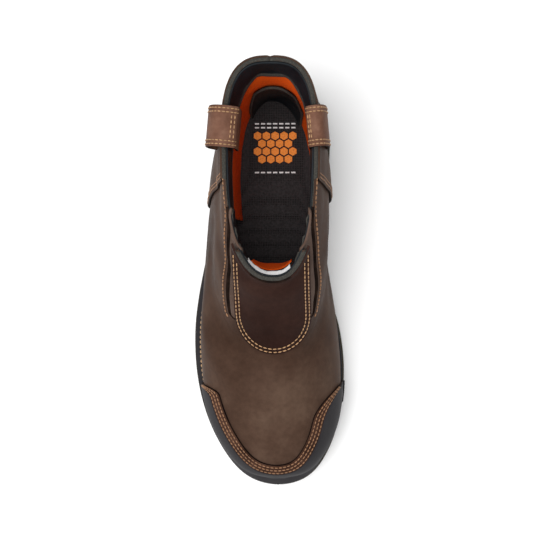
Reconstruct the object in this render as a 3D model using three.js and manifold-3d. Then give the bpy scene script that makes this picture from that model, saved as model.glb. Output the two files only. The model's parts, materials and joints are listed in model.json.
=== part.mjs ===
import * as THREE from "three";
import { mergeVertices } from "three/addons/utils/BufferGeometryUtils.js";
import Module from "manifold-3d";

const wasm = await Module();
wasm.setup();

// A right work boot of the pull-on kind, with stretch gores beside the instep.
// Millimetres, +Z up, toe towards -Y, big-toe side towards +X.
// "Along" is measured forward from the back of the heel, and X from the heel's centre line.

// Driving sizes of the last
const SOLE_LENGTH = 308;
const BALL_WIDTH = 115;
const COLLAR_HEIGHT = 150;
const COLLAR_LENGTH = 154;
const COLLAR_WIDTH = 65.5;
const COLLAR_OVERHANG = 3; // how far the collar leans out behind the heel
const COLLAR_LATERAL = 0.505; // share of the collar's width that lies to the lateral side
const INSTEP_HEIGHT = 92;
const TOE_HEIGHT = 64;

// Driving sizes of the sole
const HEEL_LIFT = 18; // outsole thickness under the heel
const FOREPART_LIFT = 9; // outsole thickness under the ball
const TOE_SPRING = 11;
const HEEL_BEVEL = 2.5;
const LUG_DEPTH = 4;
const GROOVE_WIDTH = 4.5;
const LUG_PITCH = 15.5;
const HEEL_BEVEL_REACH = 24;
const BREAST = 89; // front of the heel, along the boot
const BREAST_SLOPE = 9;
const TREAD_START = 138; // back of the forepart's tread
const TREAD_SLOPE = 25;
const SPRING_START = 215;
const TOE_CURVE = 1.8; // power of the curve that lifts the toe
const WEDGE_START = 68;
const WEDGE_END = 172;
const ARCH_RISE = 7;
const RIM_STEP = 1.2; // how far the outsole's rim stands past the midsole
const RIM_HEIGHT = 3; // height of the rim
const TREAD_BEVEL = 1.5;
const CHEVRON = THREE.MathUtils.degToRad(14); // slant of each half of a groove
const MIDSOLE_THICKNESS = 4.6;
const RIB_DEPTH = 0.9; // depth of the groove round the midsole
const WELT_THICKNESS = 3.6;
const WELT_CHAMFER = 0.8;
const WELT_BAND = 15;
const INSOLE_THICKNESS = 4;

// Driving sizes of the leather
const WALL = 2.8; // vamp and quarter leather with its lining
const PANEL_THICKNESS = 1.8;
const TOE_BAND_THICKNESS = 1.4;
const GORE_THICKNESS = 1.6;
const GORE_RECESS = 0.9;
const STRAP_THICKNESS = 2.2;
const STRAP_WIDTH = 29;
const CLEARANCE = 0.3;

// Places of the panels, measured along the boot
const FRONT_PANEL_WIDTH = 55;
const FRONT_PANEL_TOP = 124;
const FRONT_PANEL_CORNER = 176;
const FRONT_PANEL_END = 205;
const BACK_PANEL_AT_COLLAR = 81;
const BACK_PANEL_AT_SOLE = 101;
const BACK_PANEL_BEND = 0.6; // how far its front edge has moved at half the collar's height
const GORE_REAR_AT_COLLAR = 100;
const GORE_FRONT_AT_COLLAR = 130;
const GORE_END = 175;
const GORE_END_HEIGHT = 97;
const GORE_END_ROUND = 5;
const LOOP_START = 30;
const LOOP_STAND_OFF_LATERAL = 10;
const LOOP_STAND_OFF_MEDIAL = 6.2;
const LOOP_TURN = THREE.MathUtils.degToRad(5); // the loops follow the collar's widening
const LOOP_ARCH = 8; // how far the loop rises over the collar
const LOOP_FOOT_HEIGHT = 112;
const BAND_START = 228;
const BAND_RAMP_LATERAL = 14; // length over which the band comes up from the welt
const BAND_RAMP_MEDIAL = 32;
const BAND_DEPTH = 18; // from the sole's edge to the band's inner edge, in plan
const GUARD_DEPTH = 10.5; // from the sole's edge to the guard's top edge, in plan
const GUARD_THICKNESS = 1.8;
const GUARD_FOOT_START = 248;
const GUARD_FOOT_HEIGHT = 7;
const GUARD_FOOT_LIP = 1; // height of the foot's outer edge
const GUARD_FOOT_INSET = 1.6; // how far the guard's foot stays inside the sole's edge

// Fineness of the surfaces
const SOLE_STEPS = 48;
const ARCH_STEPS = 8;
const BACK_STEPS = 6;
const ROW_STEPS = 2;
const TOE_STEPS = 20;
const SIDE_STEPS = 22;
const BEND_STEPS = 12;
const STRAP_STEPS = 20;

const COLOURS = {
  leather: 0x4a372c,
  darkLeather: 0x3c2820,
  goreLeather: 0x5a4038,
  rubber: 0x2e2e32,
  rimRubber: 0x4a4436,
  footbed: 0x1c1918,
};

// Edge of the sole, heel to toe: shares of the sole's length and of the ball's width
const SOLE_EDGE = [
  { along: 0, lateral: 0, medial: 0 },
  { along: 0.02, lateral: 0.19, medial: 0.185 },
  { along: 0.06, lateral: 0.292, medial: 0.285 },
  { along: 0.13, lateral: 0.345, medial: 0.338 },
  { along: 0.22, lateral: 0.365, medial: 0.335 },
  { along: 0.33, lateral: 0.405, medial: 0.315 },
  { along: 0.42, lateral: 0.475, medial: 0.305 },
  { along: 0.48, lateral: 0.513, medial: 0.318 },
  { along: 0.54, lateral: 0.543, medial: 0.349 },
  { along: 0.6, lateral: 0.562, medial: 0.397 },
  { along: 0.66, lateral: 0.565, medial: 0.425 },
  { along: 0.72, lateral: 0.554, medial: 0.435 },
  { along: 0.78, lateral: 0.524, medial: 0.425 },
  { along: 0.84, lateral: 0.473, medial: 0.399 },
  { along: 0.9, lateral: 0.394, medial: 0.349 },
  { along: 0.96, lateral: 0.272, medial: 0.253 },
  { along: 0.988, lateral: 0.16, medial: 0.153 },
  { along: 1, lateral: 0, medial: 0 },
];

// Sections of the last, from above the collar to the toe. Each lies in a plane from its base, a point
// under or behind the foot, to its top, a point on the ridge.
//   collar   share of the collar's own plan that the section takes
//   top      place of the top along the boot, a share of the sole's length
//   rise     height of the top: -1 the toe's foot, 0 the toe, 1 the instep, 2 the collar
//   base     place of the base along the boot, a share of the sole's length
//   lift     height of the base: 0 the sole's top, 1 the collar
//   lateral, medial   greatest width to each side, shares of the ball's width
//   wide     where the section is widest, a share of the way from base to top
//   round, square     powers of the curve above and below the widest place
//   lean     place of the ridge beside the heel's centre line, a share of the ball's width
const SECTION_COLUMNS = [
  "collar", "top", "rise", "base", "lift", "lateral", "medial", "wide", "round", "square", "lean",
];
const LAST_SECTIONS = [
  [1.1, 0.5, 2.2, 0, 1.1, 0.28, 0.29, 0.42, 2.4, 3, 0.02],
  [1, 0.5, 2, 0, 1, 0.28, 0.29, 0.42, 2.4, 3, 0.02],
  [0.6, 0.553, 1.81, 0.016, 0.86, 0.34, 0.33, 0.43, 2.6, 2.8, 0.02],
  [0.25, 0.561, 1.62, 0.024, 0.72, 0.335, 0.332, 0.46, 2.8, 2.4, 0.02],
  [0, 0.575, 1.42, 0.024, 0.58, 0.36, 0.341, 0.48, 2.85, 2.25, 0.02],
  [0, 0.604, 1.26, 0.02, 0.45, 0.385, 0.346, 0.5, 2.75, 2.25, 0.02],
  [0, 0.633, 1.12, 0.016, 0.31, 0.405, 0.346, 0.51, 2.55, 2.25, 0.02],
  [0, 0.662, 1, 0.017, 0.18, 0.42, 0.344, 0.53, 2.35, 2.25, 0.02],
  [0, 0.692, 0.86, 0.026, 0.05, 0.44, 0.333, 0.57, 2.15, 2.25, 0.02],
  [0, 0.725, 0.74, 0.06, -0.08, 0.46, 0.328, 0.62, 2.1, 2.2, 0.015],
  [0, 0.76, 0.62, 0.24, -0.16, 0.487, 0.346, 0.63, 2.05, 2.3, 0.01],
  [0, 0.795, 0.48, 0.46, -0.2, 0.502, 0.393, 0.55, 2, 2.6, 0.005],
  [0, 0.83, 0.34, 0.66, -0.2, 0.49, 0.415, 0.48, 1.95, 3.2, 0],
  [0, 0.865, 0.19, 0.79, -0.18, 0.442, 0.392, 0.45, 1.95, 3.6, 0],
  [0, 0.9, 0, 0.872, -0.15, 0.366, 0.338, 0.45, 2, 3.6, 0],
  [0, 0.933, -0.2, 0.93, -0.12, 0.275, 0.262, 0.47, 2.1, 3.2, 0],
  [0, 0.958, -0.42, 0.96, -0.1, 0.18, 0.175, 0.5, 2.2, 2.6, 0],
  [0, 0.971, -0.7, 0.974, -0.07, 0.06, 0.06, 0.5, 2, 2, 0],
];

// Smooth curve through unevenly spaced knots
function spline(knots, values, at) {
  const last = knots.length - 1;
  let i = 0;
  while (i < last - 1 && at > knots[i + 1]) i += 1;
  const slope = (a, b) => (values[b] - values[a]) / (knots[b] - knots[a]);
  const tangent = (k) => {
    if (k === 0) return slope(0, 1);
    if (k === last) return slope(last - 1, last);
    return slope(k - 1, k + 1);
  };
  const span = knots[i + 1] - knots[i];
  const t = (at - knots[i]) / span;
  const rest = 1 - t;
  return (
    values[i] * (1 + 2 * t) * rest * rest +
    tangent(i) * span * t * rest * rest +
    values[i + 1] * t * t * (3 - 2 * t) +
    tangent(i + 1) * span * t * t * (t - 1)
  );
}

function smoothStep(from, to, at) {
  return THREE.MathUtils.smoothstep(at, from, to);
}

function place(x, along, z) {
  return new THREE.Vector3(x, -along, z);
}

// Solids from rings of points; the caps are fans, or strips between paired points
function solidFrom(points, triangles) {
  const make = (list) =>
    new wasm.Manifold(
      new wasm.Mesh({
        numProp: 3,
        vertProperties: Float32Array.from(points.flatMap((p) => [p.x, p.y, p.z])),
        triVerts: Uint32Array.from(list.flat()),
      }),
    );
  const made = make(triangles);
  return made.volume() > 0 ? made : make(triangles.map(([a, b, c]) => [a, c, b]));
}

function fanCap(start, count, centre) {
  return Array.from({ length: count }, (_, i) => [centre, start + i, start + ((i + 1) % count)]);
}

function stripCap(start, count) {
  const triangles = [];
  for (let i = 0; i < count / 2; i += 1) {
    const near = start + i;
    const far = start + ((count - i) % count);
    const nextNear = near + 1;
    const nextFar = start + count - i - 1;
    if (near !== far) triangles.push([far, near, nextNear]);
    if (nextNear !== nextFar) triangles.push([far, nextNear, nextFar]);
  }
  return triangles;
}

function skin(rings, cap) {
  const count = rings[0].length;
  const points = rings.flat();
  const triangles = [];
  const spans = cap === "none" ? rings.length : rings.length - 1;
  for (let k = 0; k < spans; k += 1) {
    const low = k * count;
    const high = ((k + 1) % rings.length) * count;
    for (let i = 0; i < count; i += 1) {
      const j = (i + 1) % count;
      triangles.push([low + i, low + j, high + j], [low + i, high + j, high + i]);
    }
  }
  const flip = ([a, b, c]) => [a, c, b];
  const lastStart = (rings.length - 1) * count;
  if (cap === "strip") {
    triangles.push(...stripCap(0, count).map(flip), ...stripCap(lastStart, count));
  }
  if (cap === "fan") {
    const middle = (ring) => ring.reduce((sum, p) => sum.add(p), new THREE.Vector3()).divideScalar(count);
    points.push(middle(rings[0]), middle(rings.at(-1)));
    triangles.push(...fanCap(0, count, points.length - 2).map(flip));
    triangles.push(...fanCap(lastStart, count, points.length - 1));
  }
  return solidFrom(points, triangles);
}

function solidOf(geometry) {
  geometry.deleteAttribute("normal");
  geometry.deleteAttribute("uv");
  const merged = mergeVertices(geometry, 1e-4);
  const position = merged.getAttribute("position");
  const points = Array.from({ length: position.count }, (_, i) =>
    new THREE.Vector3().fromBufferAttribute(position, i),
  );
  const index = Array.from(merged.index.array);
  const triangles = [];
  for (let i = 0; i < index.length; i += 3) triangles.push(index.slice(i, i + 3));
  return solidFrom(points, triangles);
}

// Prism with its outline in side view, given as [along, height]
function sidePrism(outline, fromX, toX) {
  const shape = new THREE.Shape(outline.map(([along, z]) => new THREE.Vector2(-along, z)));
  const geometry = new THREE.ExtrudeGeometry(shape, { depth: toX - fromX, bevelEnabled: false });
  geometry.applyMatrix4(
    new THREE.Matrix4().makeBasis(
      new THREE.Vector3(0, 1, 0),
      new THREE.Vector3(0, 0, 1),
      new THREE.Vector3(1, 0, 0),
    ),
  );
  geometry.translate(fromX, 0, 0);
  return solidOf(geometry);
}

// Prism with its outline in plan, given as [x, along]
function planPrism(outline, fromZ, toZ) {
  const shape = new THREE.Shape(outline.map(([x, along]) => new THREE.Vector2(x, -along)));
  const geometry = new THREE.ExtrudeGeometry(shape, { depth: toZ - fromZ, bevelEnabled: false });
  geometry.translate(0, 0, fromZ);
  return solidOf(geometry);
}

// Sole
const edgeKnots = SOLE_EDGE.map((row) => Math.acos(1 - 2 * row.along));
const edgeWidths = {
  lateral: SOLE_EDGE.map((row) => -row.lateral * BALL_WIDTH),
  medial: SOLE_EDGE.map((row) => row.medial * BALL_WIDTH),
};

function soleEdge(turn, inset) {
  const edgeAt = (t) => {
    const wrapped = (t + 1) % 1;
    const side = wrapped < 0.5 ? "lateral" : "medial";
    const angle = Math.PI * 2 * (wrapped < 0.5 ? wrapped : 1 - wrapped);
    return new THREE.Vector2(
      spline(edgeKnots, edgeWidths[side], angle),
      (SOLE_LENGTH * (1 - Math.cos(angle))) / 2,
    );
  };
  const step = 0.25 / SOLE_STEPS;
  const ahead = edgeAt(turn + step).sub(edgeAt(turn - step)).normalize();
  return edgeAt(turn).add(new THREE.Vector2(ahead.y, -ahead.x).multiplyScalar(inset));
}

function toeRise(along) {
  const share = Math.max(0, (along - SPRING_START) / (SOLE_LENGTH - SPRING_START));
  return TOE_SPRING * share ** TOE_CURVE;
}

function ground(along) {
  const heel = Math.max(0, 1 - along / HEEL_BEVEL_REACH);
  return toeRise(along) + HEEL_BEVEL * heel ** 2;
}

function archRise(along) {
  const leaving = smoothStep(BREAST, BREAST + BREAST_SLOPE, along);
  const meeting = smoothStep(TREAD_START - TREAD_SLOPE, TREAD_START, along);
  return ARCH_RISE * leaving * (1 - meeting);
}

function outsoleTop(along) {
  const wedge = smoothStep(WEDGE_START, WEDGE_END, along);
  return THREE.MathUtils.lerp(HEEL_LIFT, FOREPART_LIFT, wedge) + toeRise(along);
}

const midsoleBase = (along) => outsoleTop(along) + CLEARANCE;
const midsoleTop = (along) => midsoleBase(along) + MIDSOLE_THICKNESS;
const weltBase = (along) => midsoleTop(along) + CLEARANCE;
const weltTop = (along) => weltBase(along) + WELT_THICKNESS;
const featherLine = (along) => weltTop(along) + CLEARANCE;

function soleRing(inset, height) {
  return Array.from({ length: SOLE_STEPS }, (_, i) => {
    const edge = soleEdge(i / SOLE_STEPS, inset);
    return place(edge.x, edge.y, height(edge.y));
  });
}

function buildOutsole() {
  const bottom = (along) => ground(along) + archRise(along);
  const rim = (along) => outsoleTop(along) - Math.min(RIM_HEIGHT, (outsoleTop(along) - bottom(along)) / 2);
  let outsole = skin(
    [
      soleRing(RIM_STEP + TREAD_BEVEL, bottom),
      soleRing(RIM_STEP, (along) => bottom(along) + TREAD_BEVEL),
      soleRing(RIM_STEP, (along) => rim(along) - RIM_STEP),
      soleRing(0, rim),
      soleRing(0, outsoleTop),
    ],
    "strip",
  );
  const cut = (along, turn) => {
    const box = new THREE.BoxGeometry(BALL_WIDTH, GROOVE_WIDTH, LUG_DEPTH * 2);
    box.translate(BALL_WIDTH / 2, 0, 0);
    box.rotateZ(turn);
    box.translate(0, -along, ground(along));
    return solidOf(box);
  };
  const grooves = (from, to) => {
    for (let along = from; along < to; along += LUG_PITCH) {
      outsole = outsole.subtract(cut(along, CHEVRON)).subtract(cut(along, Math.PI - CHEVRON));
    }
  };
  grooves(LUG_PITCH, BREAST - LUG_PITCH / 2);
  grooves(TREAD_START + LUG_PITCH / 2, SOLE_LENGTH - LUG_PITCH);
  return outsole;
}

function buildMidsole() {
  const middle = MIDSOLE_THICKNESS / 2;
  const up = (height) => (along) => midsoleBase(along) + height;
  const groove = RIM_STEP + RIB_DEPTH;
  return skin(
    [
      soleRing(RIM_STEP, midsoleBase),
      soleRing(RIM_STEP, up(middle - RIB_DEPTH)),
      soleRing(groove, up(middle)),
      soleRing(RIM_STEP, up(middle + RIB_DEPTH)),
      soleRing(RIM_STEP, midsoleTop),
      soleRing(WELT_BAND + CLEARANCE, midsoleTop),
      soleRing(WELT_BAND + CLEARANCE, weltTop),
    ],
    "strip",
  );
}

function buildWelt() {
  return skin(
    [
      soleRing(RIM_STEP, weltBase),
      soleRing(RIM_STEP, (along) => weltTop(along) - WELT_CHAMFER),
      soleRing(RIM_STEP + WELT_CHAMFER, weltTop),
      soleRing(WELT_BAND, weltTop),
      soleRing(WELT_BAND, weltBase),
    ],
    "none",
  );
}

// Last and upper
const sectionKnots = LAST_SECTIONS.map((_, i) => i);

function column(name, row) {
  const at = SECTION_COLUMNS.indexOf(name);
  return spline(sectionKnots, LAST_SECTIONS.map((entry) => entry[at]), row);
}

const toeFoot = featherLine(SOLE_LENGTH);
const RIDGE_LEVELS = [toeFoot, TOE_HEIGHT, INSTEP_HEIGHT, COLLAR_HEIGHT];

function ridgeHeight(rise) {
  const step = THREE.MathUtils.clamp(Math.floor(rise + 1), 0, RIDGE_LEVELS.length - 2);
  return THREE.MathUtils.lerp(RIDGE_LEVELS[step], RIDGE_LEVELS[step + 1], rise + 1 - step);
}

// Quarter of a squared ellipse, from its side to just short of its top, in steps of equal length
function arc(steps, half, power) {
  const fineSteps = 48;
  const fine = Array.from({ length: fineSteps + 1 }, (_, i) => {
    const angle = (Math.PI / 2) * (i / fineSteps);
    const across = Math.max(0, Math.cos(angle)) ** (2 / power);
    const up = Math.sin(angle) ** (2 / power);
    return new THREE.Vector2(across * half.x, up * half.y);
  });
  fine[fineSteps].setX(0);
  const lengths = [0];
  for (let i = 1; i < fine.length; i += 1) lengths.push(lengths[i - 1] + fine[i].distanceTo(fine[i - 1]));
  return Array.from({ length: steps }, (_, k) => {
    const target = (lengths.at(-1) * k) / steps;
    let i = 1;
    while (i < fine.length - 1 && lengths[i] < target) i += 1;
    const share = (target - lengths[i - 1]) / (lengths[i] - lengths[i - 1]);
    return fine[i - 1].clone().lerp(fine[i], share);
  });
}

// One ring of the last: lateral side up to the ridge, down the medial side and round the base
function lastRing(row) {
  const get = (name) => column(name, row);
  const mix = get("collar");
  const blend = (foot, collar) => THREE.MathUtils.lerp(foot, collar, mix);
  const topAlong = blend(get("top") * SOLE_LENGTH, COLLAR_LENGTH - COLLAR_OVERHANG);
  const baseAlong = blend(get("base") * SOLE_LENGTH, -COLLAR_OVERHANG);
  const lateral = blend(get("lateral") * BALL_WIDTH, COLLAR_WIDTH * COLLAR_LATERAL);
  const medial = blend(get("medial") * BALL_WIDTH, COLLAR_WIDTH * (1 - COLLAR_LATERAL));
  const topZ = ridgeHeight(get("rise"));
  const soleZ = featherLine(baseAlong);
  const baseZ = THREE.MathUtils.lerp(soleZ, COLLAR_HEIGHT, get("lift"));
  const ridgeX = get("lean") * BALL_WIDTH;
  const baseX = (medial - lateral) / 2;
  const length = Math.hypot(topAlong - baseAlong, topZ - baseZ);
  const wide = get("wide");
  const upper = length * (1 - wide);
  const lower = length * wide;
  const at = (x, h) => {
    const share = wide + h / length;
    return place(
      x,
      THREE.MathUtils.lerp(baseAlong, topAlong, share),
      THREE.MathUtils.lerp(baseZ, topZ, share),
    );
  };
  const round = get("round");
  const square = get("square");
  const reverse = (list, end) => [end, ...list.slice(1).reverse()];
  const lateralTop = arc(ARCH_STEPS, new THREE.Vector2(lateral + ridgeX, upper), round);
  const medialTop = arc(ARCH_STEPS, new THREE.Vector2(medial - ridgeX, upper), round);
  const medialBase = arc(BACK_STEPS, new THREE.Vector2(medial - baseX, lower), square);
  const lateralBase = arc(BACK_STEPS, new THREE.Vector2(lateral + baseX, lower), square);
  return [
    ...lateralTop.map((p) => at(ridgeX - p.x, p.y)),
    ...reverse(medialTop, new THREE.Vector2(0, upper)).map((p) => at(ridgeX + p.x, p.y)),
    ...medialBase.map((p) => at(baseX + p.x, -p.y)),
    ...reverse(lateralBase, new THREE.Vector2(0, lower)).map((p) => at(baseX - p.x, -p.y)),
  ];
}

const lastRows = (LAST_SECTIONS.length - 1) * ROW_STEPS;
const lastRings = Array.from({ length: lastRows + 1 }, (_, k) => lastRing(k / ROW_STEPS));

// The last grown by a distance, as one filled solid
function form(growth) {
  const rings = lastRings.map((ring, k) =>
    ring.map((point, i) => {
      const next = ring[(i + 1) % ring.length];
      const previous = ring[(i + ring.length - 1) % ring.length];
      const before = lastRings[Math.max(0, k - 1)][i];
      const after = lastRings[Math.min(lastRows, k + 1)][i];
      const around = next.clone().sub(previous);
      const onward = after.clone().sub(before);
      const normal = onward.cross(around).normalize();
      return point.clone().add(normal.multiplyScalar(growth));
    }),
  );
  return skin(rings, "fan");
}

// A length that runs clear of the boot on every side
const REACH = 2 * SOLE_LENGTH;

// A height along the boot as points in side view
function sideLine(height) {
  return Array.from({ length: SIDE_STEPS + 1 }, (_, i) => {
    const along = (SOLE_LENGTH * i) / SIDE_STEPS;
    return [along, height(along)];
  });
}

// Everything between the feather line (raised by a little) and a height
function aboveSole(raise, height) {
  const line = sideLine((along) => featherLine(along) + raise);
  const first = [-REACH, line[0][1]];
  const last = [REACH, line.at(-1)[1]];
  return sidePrism([first, ...line, last, [REACH, height], [-REACH, height]], -REACH, REACH);
}

const room = aboveSole(0, COLLAR_HEIGHT);

function shell(inner, outer) {
  return form(outer).subtract(form(inner));
}

// Outline moved inwards by a distance, square to each of its sides
function shrinkOutline(outline, distance) {
  const points = outline.map(([a, b]) => new THREE.Vector2(a, b));
  const sign = Math.sign(THREE.ShapeUtils.area(points));
  const inward = (from, to) => {
    const run = to.clone().sub(from).normalize();
    return new THREE.Vector2(-run.y, run.x).multiplyScalar(sign);
  };
  return points.map((point, i) => {
    const before = inward(points.at(i - 1), point);
    const after = inward(point, points[(i + 1) % points.length]);
    const reach = distance / (1 + before.dot(after));
    const moved = point.clone().add(before.add(after).multiplyScalar(reach));
    return [moved.x, moved.y];
  });
}

// Gore window in side view: shares of the way down from the collar to the window's end
const GORE_EDGE = [
  { rear: 0.45, front: 0.4, drop: 0.36 },
  { rear: 0.68, front: 0.72, drop: 0.63 },
  { rear: 0.88, front: 0.96, drop: 0.86 },
];

function goreWindow(shrink, side) {
  const lerp = THREE.MathUtils.lerp;
  const top = 2 * COLLAR_HEIGHT;
  const end = GORE_END + GORE_END_ROUND;
  const drop = (share) => lerp(COLLAR_HEIGHT, GORE_END_HEIGHT, share);
  const outline = [
    [GORE_REAR_AT_COLLAR, top],
    [GORE_REAR_AT_COLLAR, COLLAR_HEIGHT],
    ...GORE_EDGE.map((row) => [lerp(GORE_REAR_AT_COLLAR, GORE_END, row.rear), drop(row.drop)]),
    [GORE_END, GORE_END_HEIGHT],
    [end, GORE_END_HEIGHT + GORE_END_ROUND / 2],
    ...GORE_EDGE.toReversed().map((row) => [lerp(GORE_FRONT_AT_COLLAR, end, row.front), drop(row.drop)]),
    [GORE_FRONT_AT_COLLAR, COLLAR_HEIGHT],
    [GORE_FRONT_AT_COLLAR, top],
  ];
  const window = shrinkOutline(outline, shrink);
  return side < 0 ? sidePrism(window, -REACH, 0) : sidePrism(window, 0, REACH);
}

function buildUpper() {
  return shell(-WALL, 0).intersect(room).subtract(goreWindow(0, -1)).subtract(goreWindow(0, 1));
}

function buildGore(side) {
  const strip = shell(-GORE_RECESS - GORE_THICKNESS, -GORE_RECESS);
  return strip.intersect(room).intersect(goreWindow(CLEARANCE, side));
}

function buildFrontPanel() {
  const half = FRONT_PANEL_WIDTH / 2;
  const bend = Array.from({ length: BEND_STEPS + 1 }, (_, i) => {
    const angle = (Math.PI * i) / BEND_STEPS;
    return [
      -Math.cos(angle) * half,
      FRONT_PANEL_CORNER + (FRONT_PANEL_END - FRONT_PANEL_CORNER) * Math.sin(angle),
    ];
  });
  const outline = [[-half, FRONT_PANEL_TOP], ...bend, [half, FRONT_PANEL_TOP]];
  const skinned = shell(CLEARANCE, CLEARANCE + PANEL_THICKNESS).intersect(room);
  return skinned.intersect(planPrism(outline, 0, COLLAR_HEIGHT));
}

function buildBackPanel() {
  const outline = [
    [-REACH, 0],
    [BACK_PANEL_AT_SOLE, 0],
    [THREE.MathUtils.lerp(BACK_PANEL_AT_COLLAR, BACK_PANEL_AT_SOLE, BACK_PANEL_BEND), COLLAR_HEIGHT / 2],
    [BACK_PANEL_AT_COLLAR, COLLAR_HEIGHT],
    [-REACH, COLLAR_HEIGHT],
  ];
  const skinned = shell(CLEARANCE, CLEARANCE + PANEL_THICKNESS).intersect(room);
  return skinned.intersect(sidePrism(outline, -REACH, REACH));
}

// The toe's ground plan outside a line that runs inside the sole's edge and meets it at both ends
function toeZone(depth, start) {
  const firstTurn = Math.acos(1 - (2 * start) / SOLE_LENGTH) / (2 * Math.PI);
  const line = Array.from({ length: TOE_STEPS + 1 }, (_, i) => {
    const turn = THREE.MathUtils.lerp(firstTurn, 1 - firstTurn, i / TOE_STEPS);
    const ramp = turn < 0.5 ? BAND_RAMP_LATERAL : BAND_RAMP_MEDIAL;
    const share = THREE.MathUtils.clamp((soleEdge(turn, 0).y - start) / ramp, 0, 1);
    const inner = soleEdge(turn, depth * Math.sin((share * Math.PI) / 2));
    return [inner.x, inner.y];
  });
  const [first, final] = [line[0], line.at(-1)];
  const outline = [
    ...line,
    [REACH, final[1]],
    [REACH, REACH],
    [-REACH, REACH],
    [-REACH, first[1]],
  ];
  return planPrism(outline, 0, COLLAR_HEIGHT);
}

function buildToeBand() {
  return shell(CLEARANCE, CLEARANCE + TOE_BAND_THICKNESS)
    .intersect(room)
    .intersect(toeZone(BAND_DEPTH, BAND_START))
    .subtract(toeZone(GUARD_DEPTH + CLEARANCE, BAND_START + CLEARANCE));
}

function buildToeGuard() {
  const foot = skin(
    [
      soleRing(GUARD_FOOT_INSET, featherLine),
      soleRing(GUARD_FOOT_INSET, (along) => featherLine(along) + GUARD_FOOT_LIP),
      soleRing(GUARD_DEPTH, (along) => featherLine(along) + GUARD_FOOT_HEIGHT),
    ],
    "strip",
  );
  const footZone = sidePrism(
    [
      [GUARD_FOOT_START, 0],
      [REACH, 0],
      [REACH, COLLAR_HEIGHT],
      [GUARD_FOOT_START + GUARD_FOOT_HEIGHT, COLLAR_HEIGHT],
      [GUARD_FOOT_START, featherLine(GUARD_FOOT_START)],
    ],
    -REACH,
    REACH,
  );
  return form(CLEARANCE + GUARD_THICKNESS)
    .intersect(room)
    .intersect(toeZone(GUARD_DEPTH, BAND_START + CLEARANCE))
    .add(foot.intersect(footZone))
    .subtract(form(CLEARANCE));
}

function buildInsole() {
  const under = sideLine(featherLine);
  const over = sideLine((along) => featherLine(along) + INSOLE_THICKNESS);
  const sheet = sidePrism([...under, ...over.reverse()], -REACH, REACH);
  return form(-WALL - CLEARANCE).intersect(sheet);
}

// Strap over the collar: its middle line in the plane across the boot, from the tab inside the
// shaft over the collar and down outside it. "out" is a share of the stand-off from the collar's
// wall, and "up" a share of the way from the foot of the strap to the top of its arch.
const LOOP_LINE = [
  { out: -0.95, up: 0.22 },
  { out: -0.95, up: 0.8 },
  { out: -0.68, up: 0.94 },
  { out: -0.08, up: 1 },
  { out: 0.45, up: 0.97 },
  { out: 0.82, up: 0.86 },
  { out: 1.02, up: 0.7 },
  { out: 1.07, up: 0.5 },
  { out: 0.92, up: 0.25 },
  { out: 0.3, up: 0 },
];

function buildPullLoop(side, standOff) {
  const wall = COLLAR_WIDTH * (side < 0 ? COLLAR_LATERAL : 1 - COLLAR_LATERAL);
  const top = COLLAR_HEIGHT + LOOP_ARCH;
  const middle = new THREE.CatmullRomCurve3(
    LOOP_LINE.map(
      ({ out, up }) =>
        new THREE.Vector3(wall + out * standOff, THREE.MathUtils.lerp(LOOP_FOOT_HEIGHT, top, up), 0),
    ),
  );
  const line = middle.getPoints(STRAP_STEPS);
  const edge = (shift) =>
    line.map((point, i) => {
      const run = middle.getTangent(i / STRAP_STEPS);
      return new THREE.Vector2(side * (point.x - run.y * shift), point.y + run.x * shift);
    });
  const shape = new THREE.Shape([...edge(STRAP_THICKNESS / 2), ...edge(-STRAP_THICKNESS / 2).reverse()]);
  const geometry = new THREE.ExtrudeGeometry(shape, { depth: STRAP_WIDTH, bevelEnabled: false, steps: 1 });
  geometry.rotateX(Math.PI / 2);
  geometry.translate(-side * wall, STRAP_WIDTH / 2, 0);
  geometry.rotateZ(side * LOOP_TURN);
  geometry.translate(side * wall, -LOOP_START - STRAP_WIDTH / 2, 0);
  const wallZone = form(PANEL_THICKNESS + 2 * CLEARANCE)
    .subtract(form(-WALL - CLEARANCE))
    .intersect(aboveSole(0, COLLAR_HEIGHT + CLEARANCE));
  return solidOf(geometry).subtract(wallZone);
}

export const boot = new THREE.Group();

function addPiece(name, solid, colour, roughness) {
  const mesh = solid.getMesh();
  const geometry = new THREE.BufferGeometry();
  geometry.setAttribute("position", new THREE.BufferAttribute(Float32Array.from(mesh.vertProperties), 3));
  geometry.setIndex(new THREE.BufferAttribute(Uint32Array.from(mesh.triVerts), 1));
  geometry.computeVertexNormals();
  const material = new THREE.MeshStandardMaterial({ color: colour, roughness, metalness: 0 });
  const piece = new THREE.Mesh(geometry, material);
  piece.name = name;
  boot.add(piece);
}

addPiece("outsole", buildOutsole(), COLOURS.rimRubber, 0.8);
addPiece("midsole", buildMidsole(), COLOURS.rubber, 0.75);
addPiece("welt", buildWelt(), COLOURS.rubber, 0.7);
addPiece("insole", buildInsole(), COLOURS.footbed, 0.9);
addPiece("upper", buildUpper(), COLOURS.leather, 0.55);
addPiece("gore_lateral", buildGore(-1), COLOURS.goreLeather, 0.5);
addPiece("gore_medial", buildGore(1), COLOURS.goreLeather, 0.5);
addPiece("front_panel", buildFrontPanel(), COLOURS.darkLeather, 0.5);
addPiece("back_panel", buildBackPanel(), COLOURS.leather, 0.55);
addPiece("toe_band", buildToeBand(), COLOURS.leather, 0.55);
addPiece("toe_guard", buildToeGuard(), COLOURS.rubber, 0.7);
addPiece("pull_loop_lateral", buildPullLoop(-1, LOOP_STAND_OFF_LATERAL), COLOURS.leather, 0.5);
addPiece("pull_loop_medial", buildPullLoop(1, LOOP_STAND_OFF_MEDIAL), COLOURS.leather, 0.5);

const box = new THREE.Box3().setFromObject(boot);
const centre = box.getCenter(new THREE.Vector3());
boot.position.set(-centre.x, -centre.y, -box.min.z);

export default boot;
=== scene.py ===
import json
import math
import random

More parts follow.
